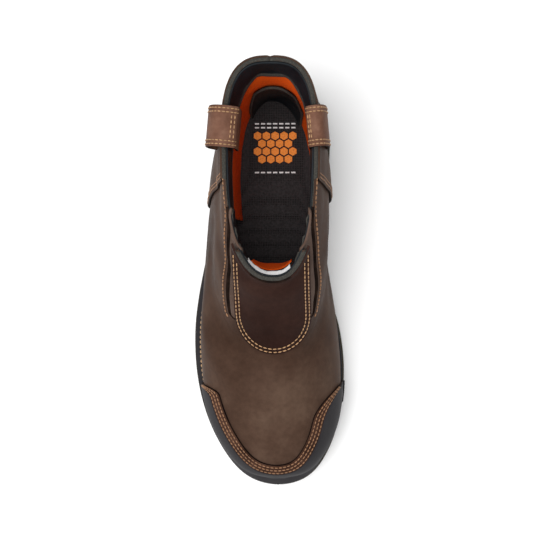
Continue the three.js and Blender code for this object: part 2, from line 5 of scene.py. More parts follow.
import bmesh
import bpy
from mathutils import Matrix, Vector
from mathutils.bvhtree import BVHTree

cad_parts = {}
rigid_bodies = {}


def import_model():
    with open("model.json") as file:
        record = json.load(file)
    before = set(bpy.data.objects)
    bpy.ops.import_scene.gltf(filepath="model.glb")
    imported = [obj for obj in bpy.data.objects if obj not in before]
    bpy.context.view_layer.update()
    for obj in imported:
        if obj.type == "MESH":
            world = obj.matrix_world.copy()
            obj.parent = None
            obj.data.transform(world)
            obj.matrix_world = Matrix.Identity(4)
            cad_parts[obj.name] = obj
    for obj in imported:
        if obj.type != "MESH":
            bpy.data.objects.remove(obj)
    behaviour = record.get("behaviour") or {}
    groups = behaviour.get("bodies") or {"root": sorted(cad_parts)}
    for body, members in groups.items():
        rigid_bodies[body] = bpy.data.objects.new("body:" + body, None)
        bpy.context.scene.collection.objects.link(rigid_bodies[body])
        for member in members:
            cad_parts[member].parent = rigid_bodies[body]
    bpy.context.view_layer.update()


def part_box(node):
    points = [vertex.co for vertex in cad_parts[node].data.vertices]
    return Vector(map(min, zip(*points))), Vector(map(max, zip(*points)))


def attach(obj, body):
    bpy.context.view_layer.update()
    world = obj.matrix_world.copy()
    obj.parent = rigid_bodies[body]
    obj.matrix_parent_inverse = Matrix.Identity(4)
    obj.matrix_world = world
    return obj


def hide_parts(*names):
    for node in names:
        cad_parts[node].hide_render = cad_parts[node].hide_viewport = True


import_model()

# Outsole
# One moulding of dull rubber: lugs and grooves under heel and forefoot, a raised arch between
# them, and a rim that stands a little proud of the midsole. The midsole is glued on its top.

# Lengths are in millimetres; "along" is measured forward from the back of the heel, and x from
# the heel's centre line towards the big toe
MM = 0.001
outsole_low, outsole_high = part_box("outsole")
SOLE_LENGTH = (outsole_high.y - outsole_low.y) / MM
BALL_WIDTH = (outsole_high.x - outsole_low.x) / MM
HEEL_BACK = outsole_high.y / MM
LATERAL_REACH = 0.565
HEEL_LINE = outsole_low.x / MM + LATERAL_REACH * BALL_WIDTH
HEEL_LIFT = 18
FOREPART_LIFT = 9
TOE_SPRING = 11
TOE_CURVE = 1.8
SPRING_START = 215
HEEL_BEVEL = 2.5
HEEL_BEVEL_REACH = 24
BREAST = 89
BREAST_SLOPE = 9
TREAD_START = 138
TREAD_SLOPE = 25
WEDGE_START = 68
WEDGE_END = 172
ARCH_RISE = 7
LUG_DEPTH = 4
GROOVE_WIDTH = 4.5
LUG_PITCH = 15.5
CHEVRON = math.radians(14)
RIM_STEP = 1.2
RIM_HEIGHT = 3
RIM_ROUND = 0.5
TREAD_BEVEL = 1.5
SOLE_STEPS = 180
RUBBER = (0.0185, 0.0165, 0.0185)
RIM_RUBBER = (0.045, 0.038, 0.026)

# Edge of the sole, heel to toe: along as a share of the length, widths as shares of the ball's
SOLE_EDGE = (
    # along, lateral, medial
    (0, 0, 0),
    (0.02, 0.19, 0.185),
    (0.06, 0.292, 0.285),
    (0.13, 0.345, 0.338),
    (0.22, 0.365, 0.335),
    (0.33, 0.405, 0.315),
    (0.42, 0.475, 0.305),
    (0.48, 0.513, 0.318),
    (0.54, 0.543, 0.349),
    (0.6, 0.562, 0.397),
    (0.66, LATERAL_REACH, 0.425),
    (0.72, 0.554, 0.435),
    (0.78, 0.524, 0.425),
    (0.84, 0.473, 0.399),
    (0.9, 0.394, 0.349),
    (0.96, 0.272, 0.253),
    (0.988, 0.16, 0.153),
    (1, 0, 0),
)
EDGE_KNOTS = [math.acos(1 - 2 * along) for along, lateral, medial in SOLE_EDGE]
EDGE_LATERAL = [-lateral * BALL_WIDTH for along, lateral, medial in SOLE_EDGE]
EDGE_MEDIAL = [medial * BALL_WIDTH for along, lateral, medial in SOLE_EDGE]


def at(x, along, z):
    """A place on the boot as a point of the scene."""
    return Vector((HEEL_LINE + x, HEEL_BACK - along, z)) * MM


def mix(a, b, share):
    return a + (b - a) * share


def smooth_step(start, end, value):
    share = min(1, max(0, (value - start) / (end - start)))
    return share * share * (3 - 2 * share)


def spline(knots, values, place):
    """Smooth curve through unevenly spaced knots."""
    last = len(knots) - 1
    i = 0
    while i < last - 1 and place > knots[i + 1]:
        i += 1

    def tangent(k):
        before = max(k - 1, 0)
        after = min(k + 1, last)
        return (values[after] - values[before]) / (knots[after] - knots[before])

    span = knots[i + 1] - knots[i]
    t = (place - knots[i]) / span
    rest = 1 - t
    return (
        values[i] * (1 + 2 * t) * rest * rest
        + tangent(i) * span * t * rest * rest
        + values[i + 1] * t * t * (3 - 2 * t)
        + tangent(i + 1) * span * t * t * (t - 1)
    )


def edge_at(turn):
    wrapped = turn % 1
    lateral = wrapped < 0.5
    angle = 2 * math.pi * (wrapped if lateral else 1 - wrapped)
    x = spline(EDGE_KNOTS, EDGE_LATERAL if lateral else EDGE_MEDIAL, angle)
    return Vector((x, SOLE_LENGTH * (1 - math.cos(angle)) / 2))


def sole_edge(turn, inset):
    """The sole's edge in plan, moved inwards. The turn runs from the heel up the lateral side."""
    step = 0.005
    ahead = (edge_at(turn + step) - edge_at(turn - step)).normalized()
    return edge_at(turn) + Vector((ahead.y, -ahead.x)) * inset


def toe_rise(along):
    share = max(0, (along - SPRING_START) / (SOLE_LENGTH - SPRING_START))
    return TOE_SPRING * share**TOE_CURVE


def tread(along):
    heel = max(0, 1 - along / HEEL_BEVEL_REACH)
    arch = smooth_step(BREAST, BREAST + BREAST_SLOPE, along)
    arch *= 1 - smooth_step(TREAD_START - TREAD_SLOPE, TREAD_START, along)
    return toe_rise(along) + HEEL_BEVEL * heel**2 + ARCH_RISE * arch


def outsole_top(along):
    return mix(HEEL_LIFT, FOREPART_LIFT, smooth_step(WEDGE_START, WEDGE_END, along)) + toe_rise(along)


def raised(height, by):
    return lambda along: height(along) + by


def grid(columns, rows, where):
    """A flat grid bent to a surface: where(u, v) places its share u across and v down."""
    bm = bmesh.new()
    bmesh.ops.create_grid(bm, x_segments=columns, y_segments=rows, size=0.5)
    for vertex in bm.verts:
        vertex.co = where(vertex.co.x + 0.5, vertex.co.y + 0.5)
    return bm


def close_up(bm):
    bmesh.ops.remove_doubles(bm, verts=bm.verts, dist=0.01 * MM)
    bmesh.ops.recalc_face_normals(bm, faces=bm.faces)


def sole_layer(profile):
    """A closed layer of the sole from its profile: inset, height and how far it folds to the middle."""

    def where(u, v):
        inset, height, fold = profile[round(v * (len(profile) - 1))]
        x, along = sole_edge(u, inset)
        middle = SOLE_LENGTH * (1 - math.cos(2 * math.pi * u)) / 2
        along = mix(along, middle, fold)
        return at(x * (1 - fold), along, height(along))

    bm = grid(SOLE_STEPS, len(profile) - 1, where)
    close_up(bm)
    return bm


def put(bm, name, material, slot, *nodes, sharp=40):
    """Makes a finished mesh a piece of the boot."""
    mesh = bpy.data.meshes.new(name)
    bm.to_mesh(mesh)
    bm.free()
    mesh.shade_smooth()
    mesh.set_sharp_from_angle(angle=math.radians(sharp))
    mesh.materials.append(material)
    piece = bpy.data.objects.new(name, mesh)
    bpy.context.scene.collection.objects.link(piece)
    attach(piece, "root")
    if nodes:
        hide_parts(*nodes)
    return piece


def settle(piece):
    """Applies a piece's modifiers, so that the next piece can be fitted to its real surface."""
    shaped = piece.evaluated_get(bpy.context.evaluated_depsgraph_get())
    mesh = bpy.data.meshes.new_from_object(shaped)
    mesh.name = piece.name
    piece.modifiers.clear()
    piece.data = mesh
    return piece


def cut_away(piece, cutter_bm, name):
    """Cuts a mesh out of a finished piece."""
    mesh = bpy.data.meshes.new(name)
    cutter_bm.to_mesh(mesh)
    cutter_bm.free()
    tool = bpy.data.objects.new(name, mesh)
    bpy.context.scene.collection.objects.link(tool)
    cut = piece.modifiers.new(name, "BOOLEAN")
    cut.operation = "DIFFERENCE"
    cut.solver = "EXACT"
    cut.use_self = True
    cut.object = tool
    settle(piece)
    bpy.data.objects.remove(tool)


def new_material(name):
    material = bpy.data.materials.new(name)
    material.use_nodes = True
    return material, material.node_tree.nodes, material.node_tree.links


def mapped_noise(nodes, links, scale, detail, roughness=0.5, stretch=(1, 1, 1)):
    """Noise on the piece's own place, at so many lumps a metre."""
    place = nodes.new("ShaderNodeTexCoord")
    turn = nodes.new("ShaderNodeMapping")
    turn.inputs["Scale"].default_value = stretch
    noise = nodes.new("ShaderNodeTexNoise")
    noise.inputs["Scale"].default_value = scale
    noise.inputs["Detail"].default_value = detail
    noise.inputs["Roughness"].default_value = roughness
    links.new(place.outputs["Object"], turn.inputs["Vector"])
    links.new(turn.outputs["Vector"], noise.inputs["Vector"])
    return noise.outputs["Fac"]


def ramp(nodes, links, source, stops):
    """Colours or grey values by place on a scale of 0 to 1."""
    band = nodes.new("ShaderNodeValToRGB")
    first, final = band.color_ramp.elements
    first.position, first.color = stops[0][0], (*stops[0][1], 1)
    final.position, final.color = stops[-1][0], (*stops[-1][1], 1)
    for position, colour in stops[1:-1]:
        element = band.color_ramp.elements.new(position)
        element.color = (*colour, 1)
    links.new(source, band.inputs["Fac"])
    return band.outputs["Color"]


def to_range(nodes, links, source, low, high):
    """A value of 0 to 1 made one of low to high."""
    ranged = nodes.new("ShaderNodeMapRange")
    ranged.inputs["To Min"].default_value = low
    ranged.inputs["To Max"].default_value = high
    links.new(source, ranged.inputs["Value"])
    return ranged.outputs["Result"]


def bump(nodes, links, source, distance, strength, under=None):
    relief = nodes.new("ShaderNodeBump")
    relief.inputs["Strength"].default_value = strength
    relief.inputs["Distance"].default_value = distance * MM
    links.new(source, relief.inputs["Height"])
    if under:
        links.new(under, relief.inputs["Normal"])
    return relief.outputs["Normal"]


def moulded_rubber(name, colour, gloss=0.62):
    """Rubber with a fine dull skin and a little dust in its tone."""
    material, nodes, links = new_material(name)
    shader = nodes["Principled BSDF"]
    cloud = mapped_noise(nodes, links, 60, 4)
    dusty = [mix(part, 0.1, 0.09) for part in colour]
    links.new(ramp(nodes, links, cloud, ((0.35, colour), (0.75, dusty))), shader.inputs["Base Color"])
    links.new(to_range(nodes, links, cloud, gloss - 0.1, gloss + 0.12), shader.inputs["Roughness"])
    skin = mapped_noise(nodes, links, 2600, 3)
    links.new(bump(nodes, links, skin, 0.12, 0.35), shader.inputs["Normal"])
    shader.inputs["Specular IOR Level"].default_value = 0.1
    return material


black_rubber = moulded_rubber("black_rubber", RUBBER)
rim_rubber = moulded_rubber("rim_rubber", RIM_RUBBER, 0.7)


def rim_base(along):
    return outsole_top(along) - min(RIM_HEIGHT, (outsole_top(along) - tread(along)) / 2)


outsole = sole_layer(
    [
        (RIM_STEP + TREAD_BEVEL, tread, 1),
        (RIM_STEP + TREAD_BEVEL, tread, 0.5),
        (RIM_STEP + TREAD_BEVEL, tread, 0),
        (RIM_STEP + TREAD_BEVEL / 3, raised(tread, TREAD_BEVEL / 3), 0),
        (RIM_STEP, raised(tread, TREAD_BEVEL), 0),
        (RIM_STEP, raised(rim_base, -RIM_STEP), 0),
        (RIM_ROUND / 3, raised(rim_base, -RIM_ROUND / 2), 0),
        (0, raised(rim_base, RIM_ROUND), 0),
        (0, raised(outsole_top, -RIM_ROUND), 0),
        (RIM_ROUND / 3, raised(outsole_top, -RIM_ROUND / 3), 0),
        (RIM_ROUND, outsole_top, 0),
        (RIM_ROUND, outsole_top, 0.5),
        (RIM_ROUND, outsole_top, 1),
    ]
)
outsole = put(outsole, "outsole_rubber", rim_rubber, "outsole_rubber", "outsole")

groove_cutter = bmesh.new()
groove_places = []
along = LUG_PITCH
while along < BREAST - LUG_PITCH / 2:
    groove_places.append(along)
    along += LUG_PITCH
along = TREAD_START + LUG_PITCH / 2
while along < SOLE_LENGTH - LUG_PITCH:
    groove_places.append(along)
    along += LUG_PITCH
for along in groove_places:
    for turn in (CHEVRON, math.pi - CHEVRON):
        size = Matrix.Diagonal((BALL_WIDTH * MM, GROOVE_WIDTH * MM, 2 * LUG_DEPTH * MM, 1))
        reach = Matrix.Translation((BALL_WIDTH / 2 * MM, 0, 0))
        spot = Matrix.Translation(at(0, along, toe_rise(along)))
        turned = Matrix.Rotation(turn, 4, "Z")
        bmesh.ops.create_cube(groove_cutter, size=1, matrix=spot @ turned @ reach @ size)
cut_away(outsole, groove_cutter, "groove_cutter")

# Midsole
# A layer of foamed black rubber with a groove moulded round its side, glued to the outsole. Its
# raised middle fills the space inside the welt.
CLEARANCE = 0.3
MIDSOLE_THICKNESS = 4.6
RIB_DEPTH = 0.9
WELT_THICKNESS = 3.6
WELT_BAND = 15
midsole_base = raised(outsole_top, CLEARANCE / 3)
midsole_top = raised(outsole_top, CLEARANCE + MIDSOLE_THICKNESS)
welt_base = raised(midsole_top, CLEARANCE / 3)
welt_top = raised(midsole_top, CLEARANCE + WELT_THICKNESS)
feather_line = raised(welt_top, CLEARANCE)
midsole_middle = raised(midsole_base, MIDSOLE_THICKNESS / 2)
midsole = sole_layer(
    [
        (RIM_STEP, midsole_base, 1),
        (RIM_STEP, midsole_base, 0),
        (RIM_STEP, raised(midsole_middle, -RIB_DEPTH), 0),
        (RIM_STEP + RIB_DEPTH * 0.8, raised(midsole_middle, -RIB_DEPTH / 3), 0),
        (RIM_STEP + RIB_DEPTH, midsole_middle, 0),
        (RIM_STEP + RIB_DEPTH * 0.8, raised(midsole_middle, RIB_DEPTH / 3), 0),
        (RIM_STEP, raised(midsole_middle, RIB_DEPTH), 0),
        (RIM_STEP, raised(midsole_top, -RIB_DEPTH / 3), 0),
        (RIM_STEP + RIB_DEPTH / 3, midsole_top, 0),
        (WELT_BAND + CLEARANCE, midsole_top, 0),
        (WELT_BAND + CLEARANCE, welt_top, 0),
        (WELT_BAND + CLEARANCE, welt_top, 1),
    ]
)
put(midsole, "midsole_rubber", black_rubber, "midsole_rubber", "midsole")

# Welt
# A strip of black rubber laid flat round the edge, on which the upper stands. A row of tan
# thread is sewn down through it, each stitch in its own awl hole.
WELT_CHAMFER = 0.8
welt = sole_layer(
    [
        (RIM_STEP, welt_base, 0),
        (RIM_STEP, raised(welt_top, -WELT_CHAMFER), 0),
        (RIM_STEP + WELT_CHAMFER / 3, raised(welt_top, -WELT_CHAMFER / 3), 0),
        (RIM_STEP + WELT_CHAMFER, welt_top, 0),
        (WELT_BAND, welt_top, 0),
        (WELT_BAND, welt_base, 0),
        (RIM_STEP, welt_base, 0),
    ]
)
put(welt, "welt_rubber", black_rubber, "welt_rubber", "welt")

# Upper
# Vamp and quarters of thick oiled leather in one hollow form, pulled over the last and closed
# under the insole. Long windows are cut in its sides for the stretch gores.
COLLAR_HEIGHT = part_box("upper")[1].z / MM
COLLAR_LENGTH = 154
COLLAR_WIDTH = 65.5
COLLAR_OVERHANG = 3
COLLAR_LATERAL = 0.505
INSTEP_HEIGHT = 92
TOE_HEIGHT = 64
LEATHER = 1.9
ROW_STEPS = 12
ARCH_STEPS = 40
BACK_STEPS = 26

# Sections of the last, from above the collar to the toe, each in a plane from a base under or
# behind the foot to a top on the ridge: shares of the sole's length, of the heights toe foot -1,
# toe 0, instep 1 and collar 2, and of the ball's width, and the powers of their curves
SECTION_COLUMNS = (
    "collar", "top", "rise", "base", "lift", "lateral", "medial", "wide", "round", "square", "lean",
)
LAST_SECTIONS = (
    (1.1, 0.5, 2.2, 0, 1.1, 0.28, 0.29, 0.42, 2.4, 3, 0.02),
    (1, 0.5, 2, 0, 1, 0.28, 0.29, 0.42, 2.4, 3, 0.02),
    (0.6, 0.553, 1.81, 0.016, 0.86, 0.34, 0.33, 0.43, 2.6, 2.8, 0.02),
    (0.25, 0.561, 1.62, 0.024, 0.72, 0.335, 0.332, 0.46, 2.8, 2.4, 0.02),
    (0, 0.575, 1.42, 0.024, 0.58, 0.36, 0.341, 0.48, 2.85, 2.25, 0.02),
    (0, 0.604, 1.26, 0.02, 0.45, 0.385, 0.346, 0.5, 2.75, 2.25, 0.02),
    (0, 0.633, 1.12, 0.016, 0.31, 0.405, 0.346, 0.51, 2.55, 2.25, 0.02),
    (0, 0.662, 1, 0.017, 0.18, 0.42, 0.344, 0.53, 2.35, 2.25, 0.02),
    (0, 0.692, 0.86, 0.026, 0.05, 0.44, 0.333, 0.57, 2.15, 2.25, 0.02),
    (0, 0.725, 0.74, 0.06, -0.08, 0.46, 0.328, 0.62, 2.1, 2.2, 0.015),
    (0, 0.76, 0.62, 0.24, -0.16, 0.487, 0.346, 0.63, 2.05, 2.3, 0.01),
    (0, 0.795, 0.48, 0.46, -0.2, 0.502, 0.393, 0.55, 2, 2.6, 0.005),
    (0, 0.83, 0.34, 0.66, -0.2, 0.49, 0.415, 0.48, 1.95, 3.2, 0),
    (0, 0.865, 0.19, 0.79, -0.18, 0.442, 0.392, 0.45, 1.95, 3.6, 0),
    (0, 0.9, 0, 0.872, -0.15, 0.366, 0.338, 0.45, 2, 3.6, 0),
    (0, 0.933, -0.2, 0.93, -0.12, 0.275, 0.262, 0.47, 2.1, 3.2, 0),
    (0, 0.958, -0.42, 0.96, -0.1, 0.18, 0.175, 0.5, 2.2, 2.6, 0),
    (0, 0.971, -0.7, 0.974, -0.07, 0.06, 0.06, 0.5, 2, 2, 0),
)
SECTION_KNOTS = list(range(len(LAST_SECTIONS)))
SECTION_VALUES = {
    name: [row[place] for row in LAST_SECTIONS] for place, name in enumerate(SECTION_COLUMNS)
}
RIDGE_LEVELS = (feather_line(SOLE_LENGTH), TOE_HEIGHT, INSTEP_HEIGHT, COLLAR_HEIGHT)


def ridge_height(rise):
    step = min(max(math.floor(rise + 1), 0), len(RIDGE_LEVELS) - 2)
    return mix(RIDGE_LEVELS[step], RIDGE_LEVELS[step + 1], rise + 1 - step)


def squared_arc(steps, half_width, half_height, power):
    """A quarter of a squared ellipse from its side to just short of its top, evenly spaced."""
    fine_steps = 60
    fine = []
    for i in range(fine_steps + 1):
        angle = math.pi / 2 * i / fine_steps
        across = max(0, math.cos(angle)) ** (2 / power)
        fine.append(Vector((across * half_width, math.sin(angle) ** (2 / power) * half_height)))
    fine[-1].x = 0
    lengths = [0]
    for i in range(fine_steps):
        lengths.append(lengths[-1] + (fine[i + 1] - fine[i]).length)
    points = []
    i = 1
    for k in range(steps):
        target = lengths[-1] * k / steps
        while i < fine_steps and lengths[i] < target:
            i += 1
        points.append(fine[i - 1].lerp(fine[i], (target - lengths[i - 1]) / (lengths[i] - lengths[i - 1])))
    return points


def last_ring(row):
    """One ring of the last: lateral side up to the ridge, down the medial side and round the base."""
    get = {name: spline(SECTION_KNOTS, values, row) for name, values in SECTION_VALUES.items()}
    top_along = mix(get["top"] * SOLE_LENGTH, COLLAR_LENGTH - COLLAR_OVERHANG, get["collar"])
    base_along = mix(get["base"] * SOLE_LENGTH, -COLLAR_OVERHANG, get["collar"])
    lateral = mix(get["lateral"] * BALL_WIDTH, COLLAR_WIDTH * COLLAR_LATERAL, get["collar"])
    medial = mix(get["medial"] * BALL_WIDTH, COLLAR_WIDTH * (1 - COLLAR_LATERAL), get["collar"])
    top_z = ridge_height(get["rise"])
    base_z = mix(feather_line(base_along), COLLAR_HEIGHT, get["lift"])
    ridge_x = get["lean"] * BALL_WIDTH
    base_x = (medial - lateral) / 2
    length = math.hypot(top_along - base_along, top_z - base_z)
    upper = length * (1 - get["wide"])
    lower = length * get["wide"]

    def spot(x, height):
        share = get["wide"] + height / length
        return at(x, mix(base_along, top_along, share), mix(base_z, top_z, share))

    def back_down(points, end):
        return [end] + points[:0:-1]

    lateral_top = squared_arc(ARCH_STEPS, lateral + ridge_x, upper, get["round"])
    medial_top = squared_arc(ARCH_STEPS, medial - ridge_x, upper, get["round"])
    medial_base = squared_arc(BACK_STEPS, medial - base_x, lower, get["square"])
    lateral_base = squared_arc(BACK_STEPS, lateral + base_x, lower, get["square"])
    ring = [spot(ridge_x - p.x, p.y) for p in lateral_top]
    ring += [spot(ridge_x + p.x, p.y) for p in back_down(medial_top, Vector((0, upper)))]
    ring += [spot(base_x + p.x, -p.y) for p in medial_base]
    ring += [spot(base_x - p.x, -p.y) for p in back_down(lateral_base, Vector((0, lower)))]
    return ring


LAST_ROWS = (len(LAST_SECTIONS) - 1) * ROW_STEPS
last_rings = [last_ring(k / ROW_STEPS) for k in range(LAST_ROWS + 1)]
RING = len(last_rings[0])

# Soft troughs (a depth over 0) and ridges (under 0) that handling leaves in the leather
CREASES = (
    # from x, along, z; to x, along, z; width; depth
    ((-25, 160, 116), (26, 168, 112), 8, 0.9),
    ((-22, 174, 108), (24, 181, 104), 6, -0.45),
    ((-20, 186, 102), (22, 192, 99), 7, 0.5),
    ((-44, 112, 96), (-46, 146, 70), 9, 1.1),
    ((-47, 126, 108), (-45, 158, 84), 7, -0.5),
    ((-47, 120, 62), (-50, 160, 48), 8, 0.7),
    ((35, 112, 92), (37, 146, 66), 9, 1),
    ((36, 124, 106), (36, 156, 82), 7, -0.5),
    ((37, 118, 56), (38, 158, 44), 8, 0.6),
    ((-40, 52, 100), (-20, 8, 104), 10, 1),
    ((38, 52, 100), (22, 8, 104), 10, 0.9),
    ((-42, 60, 72), (-43, 92, 58), 11, 0.7),
    ((36, 60, 74), (37, 92, 58), 11, 0.6),
    ((-37, 236, 50), (-17, 245, 58), 4, 0.35),
    ((-12, 232, 66), (16, 228, 67), 9, 0.5),
    ((6, 214, 80), (8, 250, 62), 10, -0.4),
    ((22, 240, 60), (28, 262, 50), 8, 0.5),
    ((-30, 262, 52), (-18, 276, 50), 8, 0.4),
)


def crease_depth(point):
    """How far the leather lies in at a place, from all the troughs and ridges near it."""
    depth = 0
    for start, end, width, most in CREASES:
        first, final = at(*start), at(*end)
        run = final - first
        share = min(1, max(0, (point - first).dot(run) / run.length_squared))
        away = (point - first - run * share).length / (width * MM)
        if away < 3:
            depth += most * math.exp(-away * away)
    return depth


def last_form(growth):
    """The last with its creases, grown by a distance, as an open grid whose faces point out."""
    bm = grid(RING, LAST_ROWS, lambda u, v: last_rings[round(v * LAST_ROWS)][round(u * RING) % RING])
    bmesh.ops.remove_doubles(bm, verts=bm.verts, dist=0.01 * MM)
    tip = [edge for edge in bm.edges if edge.is_boundary and edge.verts[0].co.z < INSTEP_HEIGHT * MM]
    bmesh.ops.edgeloop_fill(bm, edges=tip)
    bm.normal_update()
    heel = max(bm.faces, key=lambda face: face.calc_center_median().y)
    if heel.normal.y < 0:
        bmesh.ops.reverse_faces(bm, faces=bm.faces)
        bm.normal_update()
    normals = [vertex.normal.copy() for vertex in bm.verts]
    for vertex, normal in zip(bm.verts, normals):
        vertex.co += normal * (growth - crease_depth(vertex.co)) * MM
    return bm


def form_tree(growth):
    bm = last_form(growth)
    tree = BVHTree.FromBMesh(bm)
    bm.free()
    return tree


PANEL = 1.8
BAND = 1.4
skin_tree = form_tree(0)
panel_tree = form_tree(CLEARANCE + PANEL)
band_tree = form_tree(CLEARANCE + BAND)
FAR = 400


def from_above(tree, x, along):
    """Where a plumb line through a place in plan first meets a form."""
    return tree.ray_cast(at(x, along, FAR), Vector((0, 0, -1)))[0]


def from_side(tree, side, along, z):
    """Where a level line across the boot first meets a form: side -1 lateral, 1 medial."""
    return tree.ray_cast(at(side * FAR, along, z), Vector((-side, 0, 0)))[0]


def trim(bm, height):
    """Cuts a form off level above a height, and along the feather line below."""
    bmesh.ops.bisect_plane(
        bm,
        geom=bm.verts[:] + bm.edges[:] + bm.faces[:],
        dist=0.001 * MM,
        plane_co=(0, 0, height * MM),
        plane_no=(0, 0, 1),
        clear_outer=True,
    )

    def over_sole(vertex):
        return vertex.co.z / MM - feather_line(HEEL_BACK - vertex.co.y / MM)

    hidden = [face for face in bm.faces if max(over_sole(vertex) for vertex in face.verts) < 0]
    bmesh.ops.delete(bm, geom=hidden, context="FACES")
    for vertex in bm.verts:
        if over_sole(vertex) < 0:
            vertex.co.z -= over_sole(vertex) * MM


def oiled_leather(name, dark, middle, light, gloss=0.5, cloud_scale=16):
    """Oiled full-grain leather: cloudy pull-up tones, fine pores and a waxy half gloss."""
    material, nodes, links = new_material(name)
    shader = nodes["Principled BSDF"]
    cloud = mapped_noise(nodes, links, cloud_scale, 4, 0.55)
    tone = ramp(nodes, links, cloud, ((0.3, dark), (0.5, middle), (0.72, light)))
    mottle = mapped_noise(nodes, links, 240, 5, 0.6)
    speck = ramp(nodes, links, mottle, ((0.3, (0.42, 0.42, 0.42)), (0.7, (0.58, 0.58, 0.58))))
    blend = nodes.new("ShaderNodeMix")
    blend.data_type = "RGBA"
    blend.blend_type = "OVERLAY"
    blend.inputs["Factor"].default_value = 0.8
    links.new(tone, blend.inputs["A"])
    links.new(speck, blend.inputs["B"])
    links.new(blend.outputs["Result"], shader.inputs["Base Color"])
    links.new(to_range(nodes, links, mottle, gloss - 0.12, gloss + 0.14), shader.inputs["Roughness"])
    place = nodes.new("ShaderNodeTexCoord")
    pores = nodes.new("ShaderNodeTexVoronoi")
    pores.inputs["Scale"].default_value = 1500
    links.new(place.outputs["Object"], pores.inputs["Vector"])
    grain = bump(nodes, links, pores.outputs["Distance"], 0.08, 0.35)
    wrinkle = mapped_noise(nodes, links, 130, 5, 0.6)
    links.new(bump(nodes, links, wrinkle, 0.35, 0.45, grain), shader.inputs["Normal"])
    shader.inputs["Specular IOR Level"].default_value = 0.018
    shader.inputs["Specular Tint"].default_value = (1, 0.8, 0.66, 1)
    shader.inputs["Coat Weight"].default_value = 0.015
    shader.inputs["Coat Roughness"].default_value = 0.4
    return material


upper_leather = oiled_leather(
    "upper_leather", (0.032, 0.0165, 0.0108), (0.052, 0.029, 0.02), (0.086, 0.053, 0.037)
)
# Painted highlight on the toe: the upper leather's base colour is multiplied lighter and more olive towards
# the tip.
TOE_HIGHLIGHT = (1.2, 1.24, 1.24)
TOE_HIGHLIGHT_FROM = 205
TOE_HIGHLIGHT_TO = 262


def paint_toe_highlight(material):
    """Paints a highlight: the toe's base colour is made lighter and more olive than the rest of the vamp.
    """
    nodes, links = material.node_tree.nodes, material.node_tree.links
    colour = nodes["Principled BSDF"].inputs["Base Color"]
    source = colour.links[0].from_socket
    place = nodes.new("ShaderNodeTexCoord")
    parts = nodes.new("ShaderNodeSeparateXYZ")
    links.new(place.outputs["Object"], parts.inputs["Vector"])
    ahead = nodes.new("ShaderNodeMapRange")
    ahead.interpolation_type = "SMOOTHSTEP"
    ahead.inputs["From Min"].default_value = (HEEL_BACK - TOE_HIGHLIGHT_FROM) * MM
    ahead.inputs["From Max"].default_value = (HEEL_BACK - TOE_HIGHLIGHT_TO) * MM
    links.new(parts.outputs["Y"], ahead.inputs["Value"])
    tint = nodes.new("ShaderNodeMix")
    tint.data_type = "RGBA"
    tint.blend_type = "MULTIPLY"
    links.new(ahead.outputs["Result"], tint.inputs["Factor"])
    links.new(source, tint.inputs["A"])
    tint.inputs["B"].default_value = (*TOE_HIGHLIGHT, 1)
    links.new(tint.outputs["Result"], colour)


# Painted highlight: lighter, more olive base colour on the toe of the upper leather.
paint_toe_highlight(upper_leather)
GORE_REAR_AT_COLLAR = 100
GORE_FRONT_AT_COLLAR = 130
GORE_END = 175
GORE_END_ROUND = 5
GORE_END_HEIGHT = 97
GORE_KNOTS = (0, 0.36, 0.63, 0.86, 1)
GORE_REAR = (0, 0.45, 0.68, 0.88, 1)
GORE_FRONT = (0, 0.4, 0.72, 0.96, 1)


def window_edge(down, front, inwards=0):
    """A place on a gore window's edge in side view, by its share of the way down."""
    if front:
        along = mix(GORE_FRONT_AT_COLLAR, GORE_END + GORE_END_ROUND, spline(GORE_KNOTS, GORE_FRONT, down))
        return Vector((along - inwards, mix(COLLAR_HEIGHT, GORE_END_HEIGHT + GORE_END_ROUND / 2, down)))
    along = mix(GORE_REAR_AT_COLLAR, GORE_END, spline(GORE_KNOTS, GORE_REAR, down))
    return Vector((along + inwards, mix(COLLAR_HEIGHT, GORE_END_HEIGHT, down)))


def thicken(piece, thickness, offset=-1, rim=0):
    """Gives a sheet its thickness: offset -1 behind its faces, 1 before them; rim 1 for the next finish."""
    wall = piece.modifiers.new("wall", "SOLIDIFY")
    wall.thickness = thickness * MM
    wall.offset = offset
    wall.material_offset_rim = rim


upper_bm = last_form(0)
trim(upper_bm, COLLAR_HEIGHT)
upper = put(upper_bm, "upper_leather", upper_leather, "upper_leather", "upper")
thicken(upper, LEATHER)
settle(upper)

window_steps = 14
window_cutter = bmesh.new()
for side in (-1, 1):
    rear = [window_edge(i / window_steps, False) for i in range(window_steps + 1)]
    front = [window_edge(i / window_steps, True) for i in range(window_steps + 1)]
    above = Vector((0, COLLAR_HEIGHT / 4))
    outline = [rear[0] + above] + rear + front[::-1] + [front[0] + above]
    corners = [window_cutter.verts.new(at(0, point.x, point.y)) for point in outline]
    face = window_cutter.faces.new(corners)
    pulled = bmesh.ops.extrude_face_region(window_cutter, geom=[face])["geom"]
    moved = [item for item in pulled if isinstance(item, bmesh.types.BMVert)]
    bmesh.ops.translate(window_cutter, verts=moved, vec=(side * BALL_WIDTH * MM, 0, 0))
bmesh.ops.recalc_face_normals(window_cutter, faces=window_cutter.faces)
cut_away(upper, window_cutter, "gore_windows")

# Gores
# The stretch gore of each side, covered by a smooth softer strip of leather that lies a little
# below the window's edge and is crowned, so that a dark groove shows beside it.
gore_leather = oiled_leather(
    "gore_leather", (0.05, 0.03, 0.022), (0.072, 0.045, 0.034), (0.105, 0.068, 0.053), 0.45, 22
)
# Dark edge finish: real dye on the rims of the padded leather pieces, and painted shade on the cut faces of
# the gore windows.
edge_dye_and_groove_shade = oiled_leather(
    "edge_dye_and_groove_shade", (0.006, 0.004, 0.0035), (0.011, 0.0065, 0.005), (0.024, 0.013, 0.009), 0.6, 90
)
GORE_THICKNESS = 1.6
GORE_RECESS = 0.9
GORE_CROWN = 2.3
GORE_COLUMNS = 16
GORE_ROWS = 50


